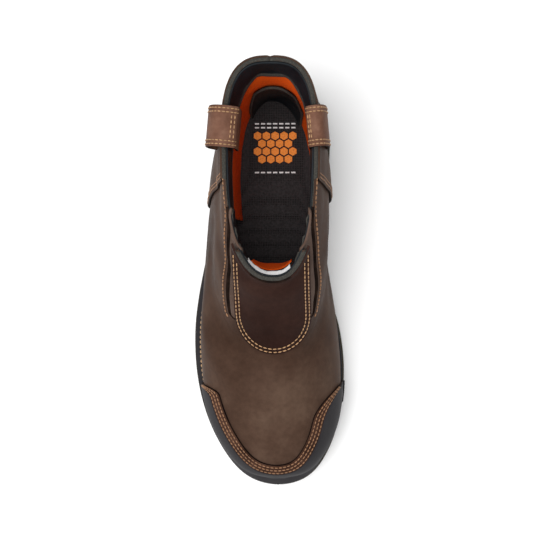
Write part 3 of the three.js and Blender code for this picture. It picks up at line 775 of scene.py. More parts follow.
def gore_place(side, u, v):
    rear = window_edge(v, False, CLEARANCE)
    front = window_edge(v, True, CLEARANCE)
    spot = rear.lerp(front, u)
    skin = from_side(skin_tree, side, spot.x, spot.y - 0.1)
    depth = GORE_RECESS + GORE_CROWN * (2 * u - 1) ** 4
    return skin - Vector((side * depth * MM, 0, 0))


def turn_faces(bm, *way):
    """Turns a sheet's faces to look one way."""
    bm.normal_update()
    if sum(face.normal.dot(Vector(way)) for face in bm.faces) < 0:
        bmesh.ops.reverse_faces(bm, faces=bm.faces)


for side, name in ((-1, "gore_lateral"), (1, "gore_medial")):
    gore_bm = grid(GORE_COLUMNS, GORE_ROWS, lambda u, v: gore_place(side, u, v))
    bmesh.ops.remove_doubles(gore_bm, verts=gore_bm.verts, dist=0.01 * MM)
    turn_faces(gore_bm, side, 0, 0)
    gore = put(gore_bm, name + "_leather", gore_leather, "gore_leather", name)
    thicken(gore, GORE_THICKNESS)

# The cut edges of the windows get the dark edge finish as painted shade: the dark groove between the
# quarter's edge and the gore
GROOVE_SHADE_MARGIN = 2
GROOVE_SHADE_INNER = 12
upper.data.materials.append(edge_dye_and_groove_shade)
for polygon in upper.data.polygons:
    aside = abs(polygon.center.x / MM - HEEL_LINE)
    along = HEEL_BACK - polygon.center.y / MM
    ahead = along - GORE_REAR_AT_COLLAR > -GROOVE_SHADE_MARGIN
    behind = along < GORE_END + GORE_END_ROUND + GROOVE_SHADE_MARGIN
    over = polygon.center.z > (GORE_END_HEIGHT - GROOVE_SHADE_MARGIN) * MM
    if ahead and behind and over and aside > GROOVE_SHADE_INNER and abs(polygon.normal.x) < 0.02:
        polygon.material_index = 1

# Front panel
# A panel of darker leather over the instep, from the collar down to a round end on the vamp,
# sewn down with two rows of tan thread beside its skived edge.
panel_leather = oiled_leather(
    "panel_leather", (0.0145, 0.0066, 0.0052), (0.025, 0.0118, 0.0092), (0.042, 0.021, 0.0155), 0.5, 14
)
FRONT_PANEL_WIDTH = 55
FRONT_PANEL_CORNER = 176
FRONT_PANEL_END = 205
PANEL_COLUMNS = 56
PANEL_ROWS = 64
PANEL_EDGE_ROUND = 0.6


def rounded_edge(piece, width):
    """Takes the sharpness off a leather edge."""
    bevel = piece.modifiers.new("edge", "BEVEL")
    bevel.width = width * MM
    bevel.segments = 3
    bevel.limit_method = "ANGLE"
    bevel.angle_limit = math.radians(50)
    bevel.use_clamp_overlap = True


def padded_wall(piece, thickness, edge_round):
    """Gives a leather piece its thickness, with dark dyed edges a little rounded."""
    piece.data.materials.append(edge_dye_and_groove_shade)
    thicken(piece, thickness, rim=1)
    rounded_edge(piece, edge_round)
    return settle(piece)


def front_panel_end(x):
    share = min(1, abs(x) / (FRONT_PANEL_WIDTH / 2))
    return FRONT_PANEL_CORNER + (FRONT_PANEL_END - FRONT_PANEL_CORNER) * math.sqrt(1 - share * share)


def collar_front(tree, x):
    """How far forward the collar line runs at a place across the boot."""
    spot = tree.ray_cast(at(x, FAR, COLLAR_HEIGHT - 0.05), Vector((0, 1, 0)))[0]
    return HEEL_BACK - spot.y / MM


def front_panel_place(u, v):
    x = FRONT_PANEL_WIDTH / 2 * math.sin(math.pi * (u - 0.5))
    along = mix(collar_front(panel_tree, x) + 0.05, front_panel_end(x), v)
    return from_above(panel_tree, x, along)


front_bm = grid(PANEL_COLUMNS, PANEL_ROWS, front_panel_place)
turn_faces(front_bm, 0, 0, 1)
front_panel = put(front_bm, "front_panel_leather", panel_leather, "panel_leather", "front_panel")
padded_wall(front_panel, PANEL, PANEL_EDGE_ROUND)

# Back panel
# Two halves of leather round the heel, closed by a seam down the back, which cover the counter
# from the welt to the collar. Two rows of thread hold each slanting front edge.
BACK_PANEL_AT_COLLAR = 81
BACK_PANEL_AT_SOLE = 101
BACK_PANEL_BEND = 0.6
BACK_COLUMNS = 110
BACK_ROWS = 60
SEAM_WIDTH = 1.2
SEAM_DEPTH = 0.7


def back_panel_front(z):
    """Place of the back panel's front edge at a height."""
    share = spline((0, 0.5, 1), (1, BACK_PANEL_BEND, 0), z / COLLAR_HEIGHT)
    return mix(BACK_PANEL_AT_COLLAR, BACK_PANEL_AT_SOLE, share)


def round_heel(tree, turn, z):
    """A form's surface at a height, met from outside: turn 0 lateral, 0.5 back, 1 medial."""
    angle = math.pi * turn
    direction = Vector((-math.cos(angle), math.sin(angle), 0))
    pole = at(0, back_panel_front(z), z)
    return tree.ray_cast(pole + direction, -direction)[0]


def back_panel_place(u, v):
    z_top = COLLAR_HEIGHT - 0.05
    spot = round_heel(panel_tree, u, mix(feather_line(40), z_top, v))
    along = HEEL_BACK - spot.y / MM
    spot = round_heel(panel_tree, u, mix(feather_line(along) + 0.1, z_top, v))
    off_seam = (spot.x / MM - HEEL_LINE) / SEAM_WIDTH
    if 0.3 < u < 0.7:
        spot.y -= SEAM_DEPTH * math.exp(-off_seam * off_seam) * MM
    return spot


back_bm = grid(BACK_COLUMNS, BACK_ROWS, back_panel_place)
turn_faces(back_bm, 0, 1, 0)
back_panel = put(back_bm, "back_panel_leather", upper_leather, "panel_leather", "back_panel")
padded_wall(back_panel, PANEL, PANEL_EDGE_ROUND)

# Toe band
# A strip of leather round the toe above the rubber guard, sewn down with three rows of thread.
BAND_START = 228
BAND_RAMP_LATERAL = 14
BAND_RAMP_MEDIAL = 32
BAND_DEPTH = 18
GUARD_DEPTH = 10.5
BAND_COLUMNS = 120
BAND_ROWS = 10
BAND_EDGE_ROUND = 0.45
TOE_MIDDLE = 238


def turn_at(along):
    """The turn of the lateral sole edge at a place along the boot."""
    return math.acos(1 - 2 * along / SOLE_LENGTH) / (2 * math.pi)


def toe_line(share, depth, start=BAND_START):
    """A place in plan on a line round the toe that comes up from the welt at both ends."""
    first = turn_at(start)
    turn = mix(first, 1 - first, share)
    ramp = BAND_RAMP_LATERAL if turn < 0.5 else BAND_RAMP_MEDIAL
    run = min(1, max(0, (edge_at(turn).y - start) / ramp))
    return sole_edge(turn, depth * math.sin(run * math.pi / 2))


def toe_wall(tree, spot, z):
    """A form's wall at a height, met from outside towards the middle of the toe."""
    direction = (at(0, TOE_MIDDLE, z) - at(spot.x, spot.y, z)).normalized()
    return tree.ray_cast(at(spot.x, spot.y, z) - direction * BALL_WIDTH * MM, direction)[0]


def on_foot_edge(tree, spot):
    """The form above a place in plan, or its foot where the place lies outside the form."""
    met = from_above(tree, spot.x, spot.y)
    foot = feather_line(spot.y)
    if met is None or met.z / MM < foot:
        return toe_wall(tree, spot, foot)
    return met


def band_place(u, v):
    inner = toe_line(u, BAND_DEPTH)
    outer = toe_line(u, GUARD_DEPTH + CLEARANCE, BAND_START + CLEARANCE)
    return on_foot_edge(band_tree, outer.lerp(inner, v))


band_bm = grid(BAND_COLUMNS, BAND_ROWS, band_place)
bmesh.ops.remove_doubles(band_bm, verts=band_bm.verts, dist=0.05 * MM)
turn_faces(band_bm, 0, 0, 1)
band_brown = oiled_leather(
    "band_brown", (0.028, 0.0125, 0.008), (0.05, 0.0235, 0.015), (0.078, 0.04, 0.027), 0.52, 60
)
toe_band = put(band_bm, "toe_band_leather", band_brown, "band_leather", "toe_band")
padded_wall(toe_band, BAND, BAND_EDGE_ROUND)

# Toe guard
# A moulding of black rubber glued round the toe, from the lower edge of the band down to a foot
# that spreads over the welt.
GUARD_THICKNESS = 1.8
GUARD_FOOT_START = 248
GUARD_FOOT_HEIGHT = 7
GUARD_FOOT_LIP = 1
GUARD_FOOT_INSET = 1.6
GUARD_COLUMNS = 140
guard_tree = form_tree(CLEARANCE + GUARD_THICKNESS)
GUARD_PROFILE = (0, 0.08, 0.2, 0.35, 0.5, 0.65, 0.8, 0.9, 1)
FOOT_PROFILE = (0.15, 0.35, 0.6, 0.85, 1)


def guard_place(u, v):
    steps = len(GUARD_PROFILE) + len(FOOT_PROFILE)
    row = round(v * steps)
    edge = toe_line(u, GUARD_DEPTH, BAND_START + CLEARANCE)
    top = on_foot_edge(guard_tree, edge)
    first = turn_at(BAND_START + CLEARANCE)
    rim = sole_edge(mix(first, 1 - first, u), GUARD_FOOT_INSET)
    base = feather_line(rim.y)
    spread = smooth_step(GUARD_FOOT_START - 2, GUARD_FOOT_START + 4, rim.y)
    ankle = min(base + GUARD_FOOT_HEIGHT * spread, top.z / MM)
    if row < len(GUARD_PROFILE):
        z = mix(top.z / MM, ankle, GUARD_PROFILE[row])
        return top if row == 0 else toe_wall(guard_tree, edge, z)
    low_wall = toe_wall(guard_tree, edge, ankle)
    if row == steps:
        outer = at(rim.x, rim.y, base)
        return toe_wall(guard_tree, edge, base + 0.05).lerp(outer, spread)
    share = FOOT_PROFILE[row - len(GUARD_PROFILE)]
    outer = at(rim.x, rim.y, base + GUARD_FOOT_LIP)
    flare = low_wall.lerp(outer, share)
    straight = toe_wall(guard_tree, edge, mix(ankle, base + 0.1, share))
    return straight.lerp(flare, spread)


guard_bm = grid(GUARD_COLUMNS, len(GUARD_PROFILE) + len(FOOT_PROFILE), guard_place)
bmesh.ops.remove_doubles(guard_bm, verts=guard_bm.verts, dist=0.02 * MM)
turn_faces(guard_bm, 0, 0, 1)
toe_guard = put(guard_bm, "toe_guard_rubber", black_rubber, "guard_rubber", "toe_guard")
thicken(toe_guard, GUARD_THICKNESS * 0.8)
rounded_edge(toe_guard, 0.4)

# Pull loops
# Two straps of oiled leather, one over each side of the collar, sewn inside the shaft and to the
# outside of the quarter, with two rows of thread near each long edge.
STRAP_THICKNESS = 2.2
STRAP_WIDTH = 29
LOOP_START = 30
LOOP_STAND_OFF = {-1: 10, 1: 6.2}
LOOP_TURN = math.radians(5)
LOOP_ARCH = 8
LOOP_FOOT_HEIGHT = 112
LOOP_LINE = (
    # out: share of the stand-off from the wall; up: share of the way from foot to arch
    (-0.95, 0.22),
    (-0.95, 0.8),
    (-0.68, 0.94),
    (-0.08, 1),
    (0.45, 0.97),
    (0.82, 0.86),
    (1.02, 0.7),
    (1.07, 0.5),
    (0.92, 0.25),
    (0.3, 0),
)
STRAP_STEPS = 64
STRAP_COLUMNS = 22
loop_leather = oiled_leather(
    "loop_leather", (0.075, 0.033, 0.021), (0.135, 0.066, 0.044), (0.21, 0.118, 0.08), 0.5, 40
)


def round_curve(points, share):
    """A place on a curve through given points."""
    spans = len(points) - 1
    i = min(int(share * spans), spans - 1)
    t = share * spans - i
    b, c = points[i], points[i + 1]
    a = points[i - 1] if i else b * 2 - c
    d = points[i + 2] if i + 2 <= spans else c * 2 - b
    return 0.5 * (b * 2 + (c - a) * t + (a * 2 - b * 5 + c * 4 - d) * t**2 + (b * 3 - a - c * 3 + d) * t**3)


def strap_place(side, across, share, lift=0):
    """A place on a loop: across its width, and a share of the way from its inner to its outer end."""
    wall = COLLAR_WIDTH * (COLLAR_LATERAL if side < 0 else 1 - COLLAR_LATERAL)
    top = COLLAR_HEIGHT + LOOP_ARCH
    line = [
        Vector((wall + out * LOOP_STAND_OFF[side], mix(LOOP_FOOT_HEIGHT, top, up))) for out, up in LOOP_LINE
    ]
    middle = round_curve(line, share)
    run = round_curve(line, min(1, share + 0.01)) - round_curve(line, max(0, share - 0.01))
    run.normalize()
    middle += Vector((-run.y, run.x)) * (STRAP_THICKNESS / 2 + lift)
    turned = Matrix.Rotation(side * LOOP_TURN, 2)
    plan = turned @ Vector((side * (middle.x - wall), -across))
    return at(side * wall + plan.x, LOOP_START + STRAP_WIDTH / 2 - plan.y, middle.y)


for side, name in ((-1, "pull_loop_lateral"), (1, "pull_loop_medial")):
    strap_bm = grid(
        STRAP_COLUMNS, STRAP_STEPS, lambda u, v: strap_place(side, (u - 0.5) * STRAP_WIDTH, v)
    )
    strap_bm.normal_update()
    outer = max(strap_bm.faces, key=lambda face: face.calc_center_median().z)
    if outer.normal.z < 0:
        bmesh.ops.reverse_faces(strap_bm, faces=strap_bm.faces)
    strap = put(strap_bm, name + "_leather", loop_leather, "loop_leather", name)
    padded_wall(strap, STRAP_THICKNESS, 0.7)

# Insole
# A footbed of black knitted cloth on foam, laid loose inside. Under the heel it has a plain
# printed pad pattern: a block of orange hexagons between two rows of white dashes.
INSOLE_THICKNESS = 4
INSOLE_INSET = 12
INSOLE_ROWS = 24
INSOLE_ROUND = 0.08
HEEL_CUP = 1.2


def knitted_cloth(name, dark, light, pitch, gloss=0.9, depth=0.25):
    """A knit: fine ribs of small loops, with a little fluff in its tone."""
    material, nodes, links = new_material(name)
    shader = nodes["Principled BSDF"]
    place = nodes.new("ShaderNodeTexCoord")
    waves = []
    for axis in ("X", "Y", "Z"):
        wave = nodes.new("ShaderNodeTexWave")
        wave.bands_direction = axis
        wave.inputs["Scale"].default_value = 0.314 / (pitch * MM)
        wave.inputs["Distortion"].default_value = 0.6
        links.new(place.outputs["Object"], wave.inputs["Vector"])
        waves.append(wave.outputs["Fac"])
    total = waves[0]
    for wave in waves[1:]:
        sum_node = nodes.new("ShaderNodeMath")
        sum_node.operation = "ADD"
        links.new(total, sum_node.inputs[0])
        links.new(wave, sum_node.inputs[1])
        total = sum_node.outputs[0]
    knit = to_range(nodes, links, total, 0, 0.5)
    fluff = mapped_noise(nodes, links, 700, 3, 0.7)
    tone = nodes.new("ShaderNodeMath")
    tone.operation = "MULTIPLY"
    links.new(knit, tone.inputs[0])
    links.new(to_range(nodes, links, fluff, 0.2, 1.3), tone.inputs[1])
    links.new(ramp(nodes, links, tone.outputs[0], ((0.1, dark), (0.9, light))), shader.inputs["Base Color"])
    links.new(bump(nodes, links, knit, depth, 0.8), shader.inputs["Normal"])
    shader.inputs["Roughness"].default_value = gloss
    shader.inputs["Specular IOR Level"].default_value = 0.12
    return material


def footbed_top(along):
    return feather_line(along) + INSOLE_THICKNESS


def insole_place(u, v):
    plan = sole_edge(u, INSOLE_INSET)
    middle = SOLE_LENGTH * (1 - math.cos(2 * math.pi * u)) / 2
    middle = min(max(middle, INSOLE_INSET), SOLE_LENGTH - INSOLE_INSET)
    reach = 1 - max(0, v - INSOLE_ROUND) / (1 - INSOLE_ROUND)
    drop = (INSOLE_THICKNESS - CLEARANCE) * max(0, 1 - v / INSOLE_ROUND)
    spot = Vector((0, middle)).lerp(plan, reach)
    cup = HEEL_CUP * smooth_step(0.6, 1, reach) * (1 - smooth_step(90, 160, spot.y))
    return at(spot.x, spot.y, footbed_top(spot.y) - drop + cup)


footbed_cloth = knitted_cloth(
    "footbed_cloth", (0.003, 0.0028, 0.0028), (0.082, 0.074, 0.076), 1.3, 0.9, 0.4
)
insole_bm = grid(SOLE_STEPS, INSOLE_ROWS, insole_place)
close_up(insole_bm)
put(insole_bm, "insole_cloth", footbed_cloth, "footbed_textile", "insole")

PRINT_MIDDLE = 51
PRINT_X = -2
HEXAGON = 3.4
HEXAGON_GAP = 0.8
HEXAGON_ROWS = 4
HEXAGON_COLUMNS = 5
HEXAGON_TAPER = 0.92
PRINT_THICKNESS = 0.25
DASH_LENGTH = 3.2
DASH_WIDTH = 1.1
DASH_PITCH = 4.6
DASHES = 7
DASH_ROWS = (-18, -15, 19)


def printed_ink(name, colour):
    """Ink on cloth, a little rubbed off."""
    material, nodes, links = new_material(name)
    shader = nodes["Principled BSDF"]
    worn = mapped_noise(nodes, links, 900, 4, 0.7)
    faded = [part * 0.55 for part in colour]
    links.new(ramp(nodes, links, worn, ((0.3, faded), (0.5, colour))), shader.inputs["Base Color"])
    shader.inputs["Roughness"].default_value = 0.7
    return material


def on_footbed(x, along):
    return Matrix.Translation(at(x, along, footbed_top(along) + PRINT_THICKNESS / 3))


hexagons = bmesh.new()
hexagon_step = HEXAGON * math.sqrt(3) + HEXAGON_GAP
for row in range(HEXAGON_ROWS):
    for column in range(HEXAGON_COLUMNS - row % 2):
        x = PRINT_X + (column - (HEXAGON_COLUMNS - 1 - row % 2) / 2) * hexagon_step
        along = PRINT_MIDDLE + (row - (HEXAGON_ROWS - 1) / 2) * (HEXAGON * 1.5 + HEXAGON_GAP)
        bmesh.ops.create_cone(
            hexagons,
            cap_ends=True,
            segments=6,
            radius1=HEXAGON * MM,
            radius2=HEXAGON * HEXAGON_TAPER * MM,
            depth=PRINT_THICKNESS * MM,
            matrix=on_footbed(x, along),
        )
orange_ink = printed_ink("orange_ink", (0.85, 0.25, 0.02))
put(hexagons, "footbed_print_orange", orange_ink, "footbed_textile", sharp=20)
dashes = bmesh.new()
for offset in DASH_ROWS:
    for k in range(DASHES):
        x = PRINT_X + (k - (DASHES - 1) / 2) * DASH_PITCH
        size = Matrix.Diagonal((DASH_LENGTH * MM, DASH_WIDTH * MM, PRINT_THICKNESS * MM, 1))
        bmesh.ops.create_cube(dashes, size=1, matrix=on_footbed(x, PRINT_MIDDLE + offset) @ size)
white_ink = printed_ink("white_ink", (0.75, 0.75, 0.75))
put(dashes, "footbed_print_white", white_ink, "footbed_textile", sharp=20)

# Collar lining
# Inside the shaft hangs an orange cloth lining, with a band of smooth black leather round the
# collar over it, a black heel pocket at the back and a cloth flap at the front. The cut edges of
# band and pocket show grey.
LINING_LEVELS = (
    # height, back, front, half width of the lining's plan
    (20, 12.8, 141, 26.4),
    (35, 12.6, 142, 26.6),
    (80, 11.2, 143, 27.1),
    (125, 5.6, 145.5, 27.4),
    (150, 5.6, 145.5, 27.4),
)
LINING_POWER = 2.4
LINING_ROOM = 2.8
BAND_FALL = 1.5
LINING_X = -0.3
LINING_KNOTS = [level[0] for level in LINING_LEVELS]
COLLAR_BAND = 1.5
COLLAR_BAND_HEIGHT = 25
wall_tree = form_tree(-LEATHER - CLEARANCE)


def lining_place(turn, z, out=0):
    """The lining at a height, moved outwards: turn 0 back, 0.25 lateral, 0.5 front, 0.75 medial."""
    back, front, half = [spline(LINING_KNOTS, [level[i] for level in LINING_LEVELS], z) for i in (1, 2, 3)]
    angle = 2 * math.pi * turn
    across, ahead = math.sin(angle), math.cos(angle)
    across = math.copysign(abs(across) ** (2 / LINING_POWER), across)
    ahead = math.copysign(abs(ahead) ** (2 / LINING_POWER), ahead)
    loose = at(LINING_X - half * across, (back + front) / 2 - (front - back) / 2 * ahead, z)
    pole = at(LINING_X, (back + front) / 2, z)
    direction = (loose - pole).normalized()
    wall = wall_tree.ray_cast(pole, direction)[0]
    if wall is not None and (wall - pole).length - LINING_ROOM * MM < (loose - pole).length:
        loose = wall - direction * LINING_ROOM * MM
    level = COLLAR_HEIGHT - 1
    held = wall_tree.ray_cast(pole + Vector((0, 0, level * MM - z * MM)), direction)[0]
    held.z = z * MM
    share = min(1, max(0, (z - COLLAR_HEIGHT + COLLAR_BAND_HEIGHT) / (COLLAR_BAND_HEIGHT - BAND_FALL)))
    return loose.lerp(held - direction * COLLAR_BAND * MM, share) + direction * out * MM


def smooth_lining(name, colour, gloss):
    """Smooth split leather with faint stretch marks."""
    material, nodes, links = new_material(name)
    shader = nodes["Principled BSDF"]
    cloud = mapped_noise(nodes, links, 50, 4, 0.6)
    worn = [part * 1.9 + 0.004 for part in colour]
    links.new(ramp(nodes, links, cloud, ((0.35, colour), (0.75, worn))), shader.inputs["Base Color"])
    links.new(bump(nodes, links, mapped_noise(nodes, links, 900, 4), 0.15, 0.4), shader.inputs["Normal"])
    shader.inputs["Roughness"].default_value = gloss
    shader.inputs["Specular IOR Level"].default_value = 0.12
    return material


def raw_edge(name):
    """The fibrous grey edge of cut leather and foam."""
    material, nodes, links = new_material(name)
    shader = nodes["Principled BSDF"]
    fibre = mapped_noise(nodes, links, 1300, 5, 0.75)
    stops = ((0.3, (0.012, 0.011, 0.009)), (0.52, (0.027, 0.025, 0.02)), (0.75, (0.088, 0.082, 0.068)))
    links.new(ramp(nodes, links, fibre, stops), shader.inputs["Base Color"])
    links.new(bump(nodes, links, fibre, 0.4, 0.8), shader.inputs["Normal"])
    shader.inputs["Roughness"].default_value = 0.9
    return material


grey_edge = raw_edge("grey_edge")
black_leather = smooth_lining("black_band", (0.0045, 0.0062, 0.008), 0.55)
orange_cloth = knitted_cloth("orange_cloth", (0.52, 0.055, 0.003), (0.82, 0.125, 0.006), 1.1, 0.9, 0.35)
LINING_BEHIND = 1.5
LINING_TURN = 0.31
LINING_FOOT = 30
CLOTH = 0.8
CUT_EDGE = 4
LINING_COLUMNS = 160


def face_outwards(bm, middle):
    """Turns an open sheet's faces away from a point."""
    bm.normal_update()
    facing = sum((face.calc_center_median() - middle).dot(face.normal) for face in bm.faces)
    if facing < 0:
        bmesh.ops.reverse_faces(bm, faces=bm.faces)


shaft_middle = at(0, 75, 90)


def waves(turn, count, size):
    """Soft waves round the shaft, as cloth and thin leather hang."""
    return size * math.sin(2 * math.pi * turn * count) * math.sin(2 * math.pi * turn * (count / 2 + 1))


def band_sheet(u, v):
    z = mix(COLLAR_HEIGHT - COLLAR_BAND_HEIGHT, COLLAR_HEIGHT - 0.6, v)
    return lining_place(u, z + waves(u, 6, 1.2) * (1 - v), waves(u, 9, 0.35) * (1 - v))


band_lining_bm = grid(LINING_COLUMNS, 20, band_sheet)
bmesh.ops.remove_doubles(band_lining_bm, verts=band_lining_bm.verts, dist=0.01 * MM)
face_outwards(band_lining_bm, shaft_middle)
collar_band = put(band_lining_bm, "collar_band_lining", black_leather, "upper_leather")
collar_band.data.materials.append(grey_edge)
thicken(collar_band, COLLAR_BAND, 1)
settle(collar_band)
for polygon in collar_band.data.polygons:
    if polygon.center.z < (COLLAR_HEIGHT - COLLAR_BAND_HEIGHT + CUT_EDGE) * MM:
        polygon.material_index = 1


def lining_sheet(u, v):
    turn = mix(-LINING_TURN, LINING_TURN, u)
    z = mix(LINING_FOOT, COLLAR_HEIGHT - 6, v)
    return lining_place(turn, z, LINING_BEHIND + waves(turn, 14, 0.3) * (1 - v))


lining_bm = grid(LINING_COLUMNS, 44, lining_sheet)
face_outwards(lining_bm, shaft_middle)
lining = put(lining_bm, "shaft_lining_cloth", orange_cloth, "footbed_textile")
thicken(lining, CLOTH, 1)

FLAP_TURN = 0.075
FLAP_FOOT = 42
FLAP_TOP = 21
FLAP_IN = 2.4
FLAP_BOW = 3.4


def flap_sheet(u, v):
    turn = 0.5 + mix(-FLAP_TURN, FLAP_TURN, u)
    bow = 1 - abs(2 * u - 1) ** 1.4
    z = COLLAR_HEIGHT - mix(FLAP_FOOT, FLAP_TOP, v)
    return lining_place(turn, z, -FLAP_IN - FLAP_BOW * (1 - v) * bow)


flap_bm = grid(40, 16, flap_sheet)
face_outwards(flap_bm, shaft_middle)
flap = put(flap_bm, "front_lining_flap", orange_cloth, "footbed_textile")
thicken(flap, CLOTH, 1)

POCKET_HEIGHT = 103
POCKET_TURN = 0.12
POCKET_IN = 1.4
POCKET_LEATHER = 1.6
POCKET_COLUMNS = 60
POCKET_ROWS = 30


def pocket_sheet(u, v):
    turn = mix(-POCKET_TURN, POCKET_TURN, u)
    top = mix(footbed_top(20), POCKET_HEIGHT, math.sqrt(max(0, 1 - abs(2 * u - 1) ** 2.4)))
    return lining_place(turn, mix(footbed_top(20) - 1.5, top, v), -POCKET_IN - 0.6 * (1 - v))


pocket_bm = grid(POCKET_COLUMNS, POCKET_ROWS, pocket_sheet)
face_outwards(pocket_bm, shaft_middle)
pocket = put(pocket_bm, "heel_pocket_lining", black_leather, "upper_leather")
pocket.data.materials.append(grey_edge)
for polygon in pocket.data.polygons:
    if polygon.index // POCKET_COLUMNS >= POCKET_ROWS - 1:
        polygon.material_index = 1
thicken(pocket, POCKET_LEATHER, 1, rim=1)

# Gore elastic
# The elastic webbing behind each leather gore, ribbed and a little rumpled, whose ends show at
# the collar between quarter and front panel.
elastic_web = smooth_lining("elastic_web", (0.007, 0.007, 0.008), 0.8)
ELASTIC_TURNS = (0.085, 0.2)
ELASTIC_DEPTH = 20
ELASTIC = 1.2


def elastic_sheet(side, u, v):
    turn = 0.5 + side * mix(*ELASTIC_TURNS, u)
    rumple = 1.1 * math.sin(u * 19 + side) + 0.5 * math.sin(u * 43)
    z = mix(COLLAR_HEIGHT - ELASTIC_DEPTH, COLLAR_HEIGHT - 1.5 + 0.8 * math.sin(u * 23), v)
    return lining_place(turn, z, -0.9 + rumple * (0.2 + 0.6 * v))


for side, name in ((-1, "gore_elastic_lateral"), (1, "gore_elastic_medial")):
    elastic_bm = grid(70, 12, lambda u, v: elastic_sheet(side, u, v))
    face_outwards(elastic_bm, shaft_middle)
    elastic = put(elastic_bm, name, elastic_web, "gore_leather")
    elastic.data.materials.append(grey_edge)
    thicken(elastic, ELASTIC, 1, rim=1)

# Front tape
# A plain white tape, folded over and sewn in at the front of the collar.
TAPE_TURNS = (0.415, 0.57)
TAPE_FOOT = 7
TAPE_TOP = 2.2
TAPE_LEAN = 2.6
TAPE = 0.5


def plain_finish(name, colour, roughness, grain, depth, strength):
    """One dull colour with a fine grain."""
    material, nodes, links = new_material(name)
    shader = nodes["Principled BSDF"]
    shader.inputs["Base Color"].default_value = (*colour, 1)
    shader.inputs["Roughness"].default_value = roughness
    fine = mapped_noise(nodes, links, grain, 2)
    links.new(bump(nodes, links, fine, depth, strength), shader.inputs["Normal"])
    return material


def tape_sheet(u, v):
    turn = mix(*TAPE_TURNS, u)
    slack = 0.5 * math.sin(u * 17) + 0.3 * math.sin(u * 41)
    z = mix(COLLAR_HEIGHT - TAPE_FOOT, COLLAR_HEIGHT - TAPE_TOP + slack / 2, v)
    return lining_place(turn, z, 0.3 - TAPE_LEAN * (1 - v) + slack / 3)


tape_cloth = plain_finish("white_tape", (0.78, 0.78, 0.78), 0.8, 1500, 0.2, 0.6)
tape_bm = grid(60, 6, tape_sheet)
face_outwards(tape_bm, shaft_middle)
tape = put(tape_bm, "front_tape", tape_cloth, "footbed_textile")
thicken(tape, TAPE, 1)

# Collar edge
# The raw top edge of quarters and panels: padding and split leather, cut level and left a fuzzy
# grey inside a thin line of brown leather.
for piece in (front_panel, back_panel):
    for polygon in piece.data.polygons:
        if polygon.normal.z > 0.8 and polygon.center.z > (COLLAR_HEIGHT - 0.6) * MM:
            polygon.material_index = 0
RAW_EDGE_IN = 1.5
RAW_EDGE_RISE = 0.3
RAW_EDGE_STEPS = 240
RAW_EDGE = 0.8
RAW_EDGE_BACK = 99.5
RAW_EDGE_FRONT = 131


def raw_edge_place(u, v):
    """The edge round the collar: from the lining out to just inside whichever leather is outermost."""
    pole = at(LINING_X, COLLAR_LENGTH / 2, COLLAR_HEIGHT - 0.1)
    angle = 2 * math.pi * u
    direction = Vector((math.sin(angle), math.cos(angle), 0))
    inner = wall_tree.ray_cast(pole, direction)[0]
    outer = panel_tree.ray_cast(pole, direction)[0]
    along = HEEL_BACK - outer.y / MM
    bare = BACK_PANEL_AT_COLLAR < along < RAW_EDGE_FRONT or (
        along > RAW_EDGE_FRONT and abs(outer.x / MM - HEEL_LINE) > FRONT_PANEL_WIDTH / 2
    )
    if bare:
        outer = skin_tree.ray_cast(pole, direction)[0]
    outer -= direction * RAW_EDGE_IN * MM
    spot = inner.lerp(outer, v)
    rough = 0.1 * math.sin(u * 733) + 0.1 * math.sin(u * 1249 + 9 * v)
    spot.z = (COLLAR_HEIGHT + RAW_EDGE_RISE * math.sin(math.pi * v) + rough) * MM
    return spot


raw_bm = grid(RAW_EDGE_STEPS, 5, raw_edge_place)
open_faces = []
for face in raw_bm.faces:
    along = HEEL_BACK - face.calc_center_median().y / MM
    if RAW_EDGE_BACK < along < RAW_EDGE_FRONT:
        open_faces.append(face)
bmesh.ops.delete(raw_bm, geom=open_faces, context="FACES")
bmesh.ops.remove_doubles(raw_bm, verts=raw_bm.verts, dist=0.01 * MM)
turn_faces(raw_bm, 0, 0, 1)
raw = put(raw_bm, "collar_raw_edge", grey_edge, "upper_leather")
thicken(raw, RAW_EDGE)

# Stitching
# Thick tan thread, lock-stitched: each stitch stands up round on the leather.
THREAD = (0.4, 0.225, 0.105)
DARK_THREAD = (0.26, 0.125, 0.055)
LEATHER_PITCH = 3.5
STITCH_LENGTH = 3
STITCH_RADIUS = 0.5
stitch_play = random.Random(5)


def waxed_thread(name, colour):
    material, nodes, links = new_material(name)
    shader = nodes["Principled BSDF"]
    worn = mapped_noise(nodes, links, 420, 3, 0.6)
    dirty = [part * 0.55 for part in colour]
    links.new(ramp(nodes, links, worn, ((0.32, dirty), (0.6, colour))), shader.inputs["Base Color"])
    twist = mapped_noise(nodes, links, 3000, 2)
    links.new(bump(nodes, links, twist, 0.1, 0.6), shader.inputs["Normal"])
    shader.inputs["Roughness"].default_value = 0.62
    return material


def sew(bm, tree, points, pitch=LEATHER_PITCH, length=STITCH_LENGTH, radius=STITCH_RADIUS, lift=0.12):
    """Stitches of even pitch along a line of places, standing on a form."""
    runs = [(after - before).length for before, after in zip(points, points[1:])]
    total = sum(runs)
    count = max(1, round(total / (pitch * MM)))
    for k in range(count):
        target = total * (k + 0.5) / count
        i = 0
        while i < len(runs) - 1 and target > runs[i]:
            target -= runs[i]
            i += 1
        spot = points[i].lerp(points[i + 1], target / max(runs[i], 1e-9))
        near, normal, index, away = tree.find_nearest(spot)
        run = (points[i + 1] - points[i]).normalized()
        run = (run - normal * run.dot(normal)).normalized()
        run.rotate(Matrix.Rotation(stitch_play.uniform(-0.06, 0.06), 3, normal))
        aside = normal.cross(run)
        turn = Matrix((run, aside, normal)).transposed().to_4x4()
        long = length * stitch_play.uniform(0.94, 1.06) / 2
        size = Matrix.Diagonal((long * MM, radius * MM, radius * MM, 1))
        place = Matrix.Translation(near + normal * lift * MM)
        bmesh.ops.create_uvsphere(bm, u_segments=7, v_segments=6, radius=1, matrix=place @ turn @ size)


tan_thread = waxed_thread("tan_thread", THREAD)
worn_thread = waxed_thread("worn_thread", DARK_THREAD)

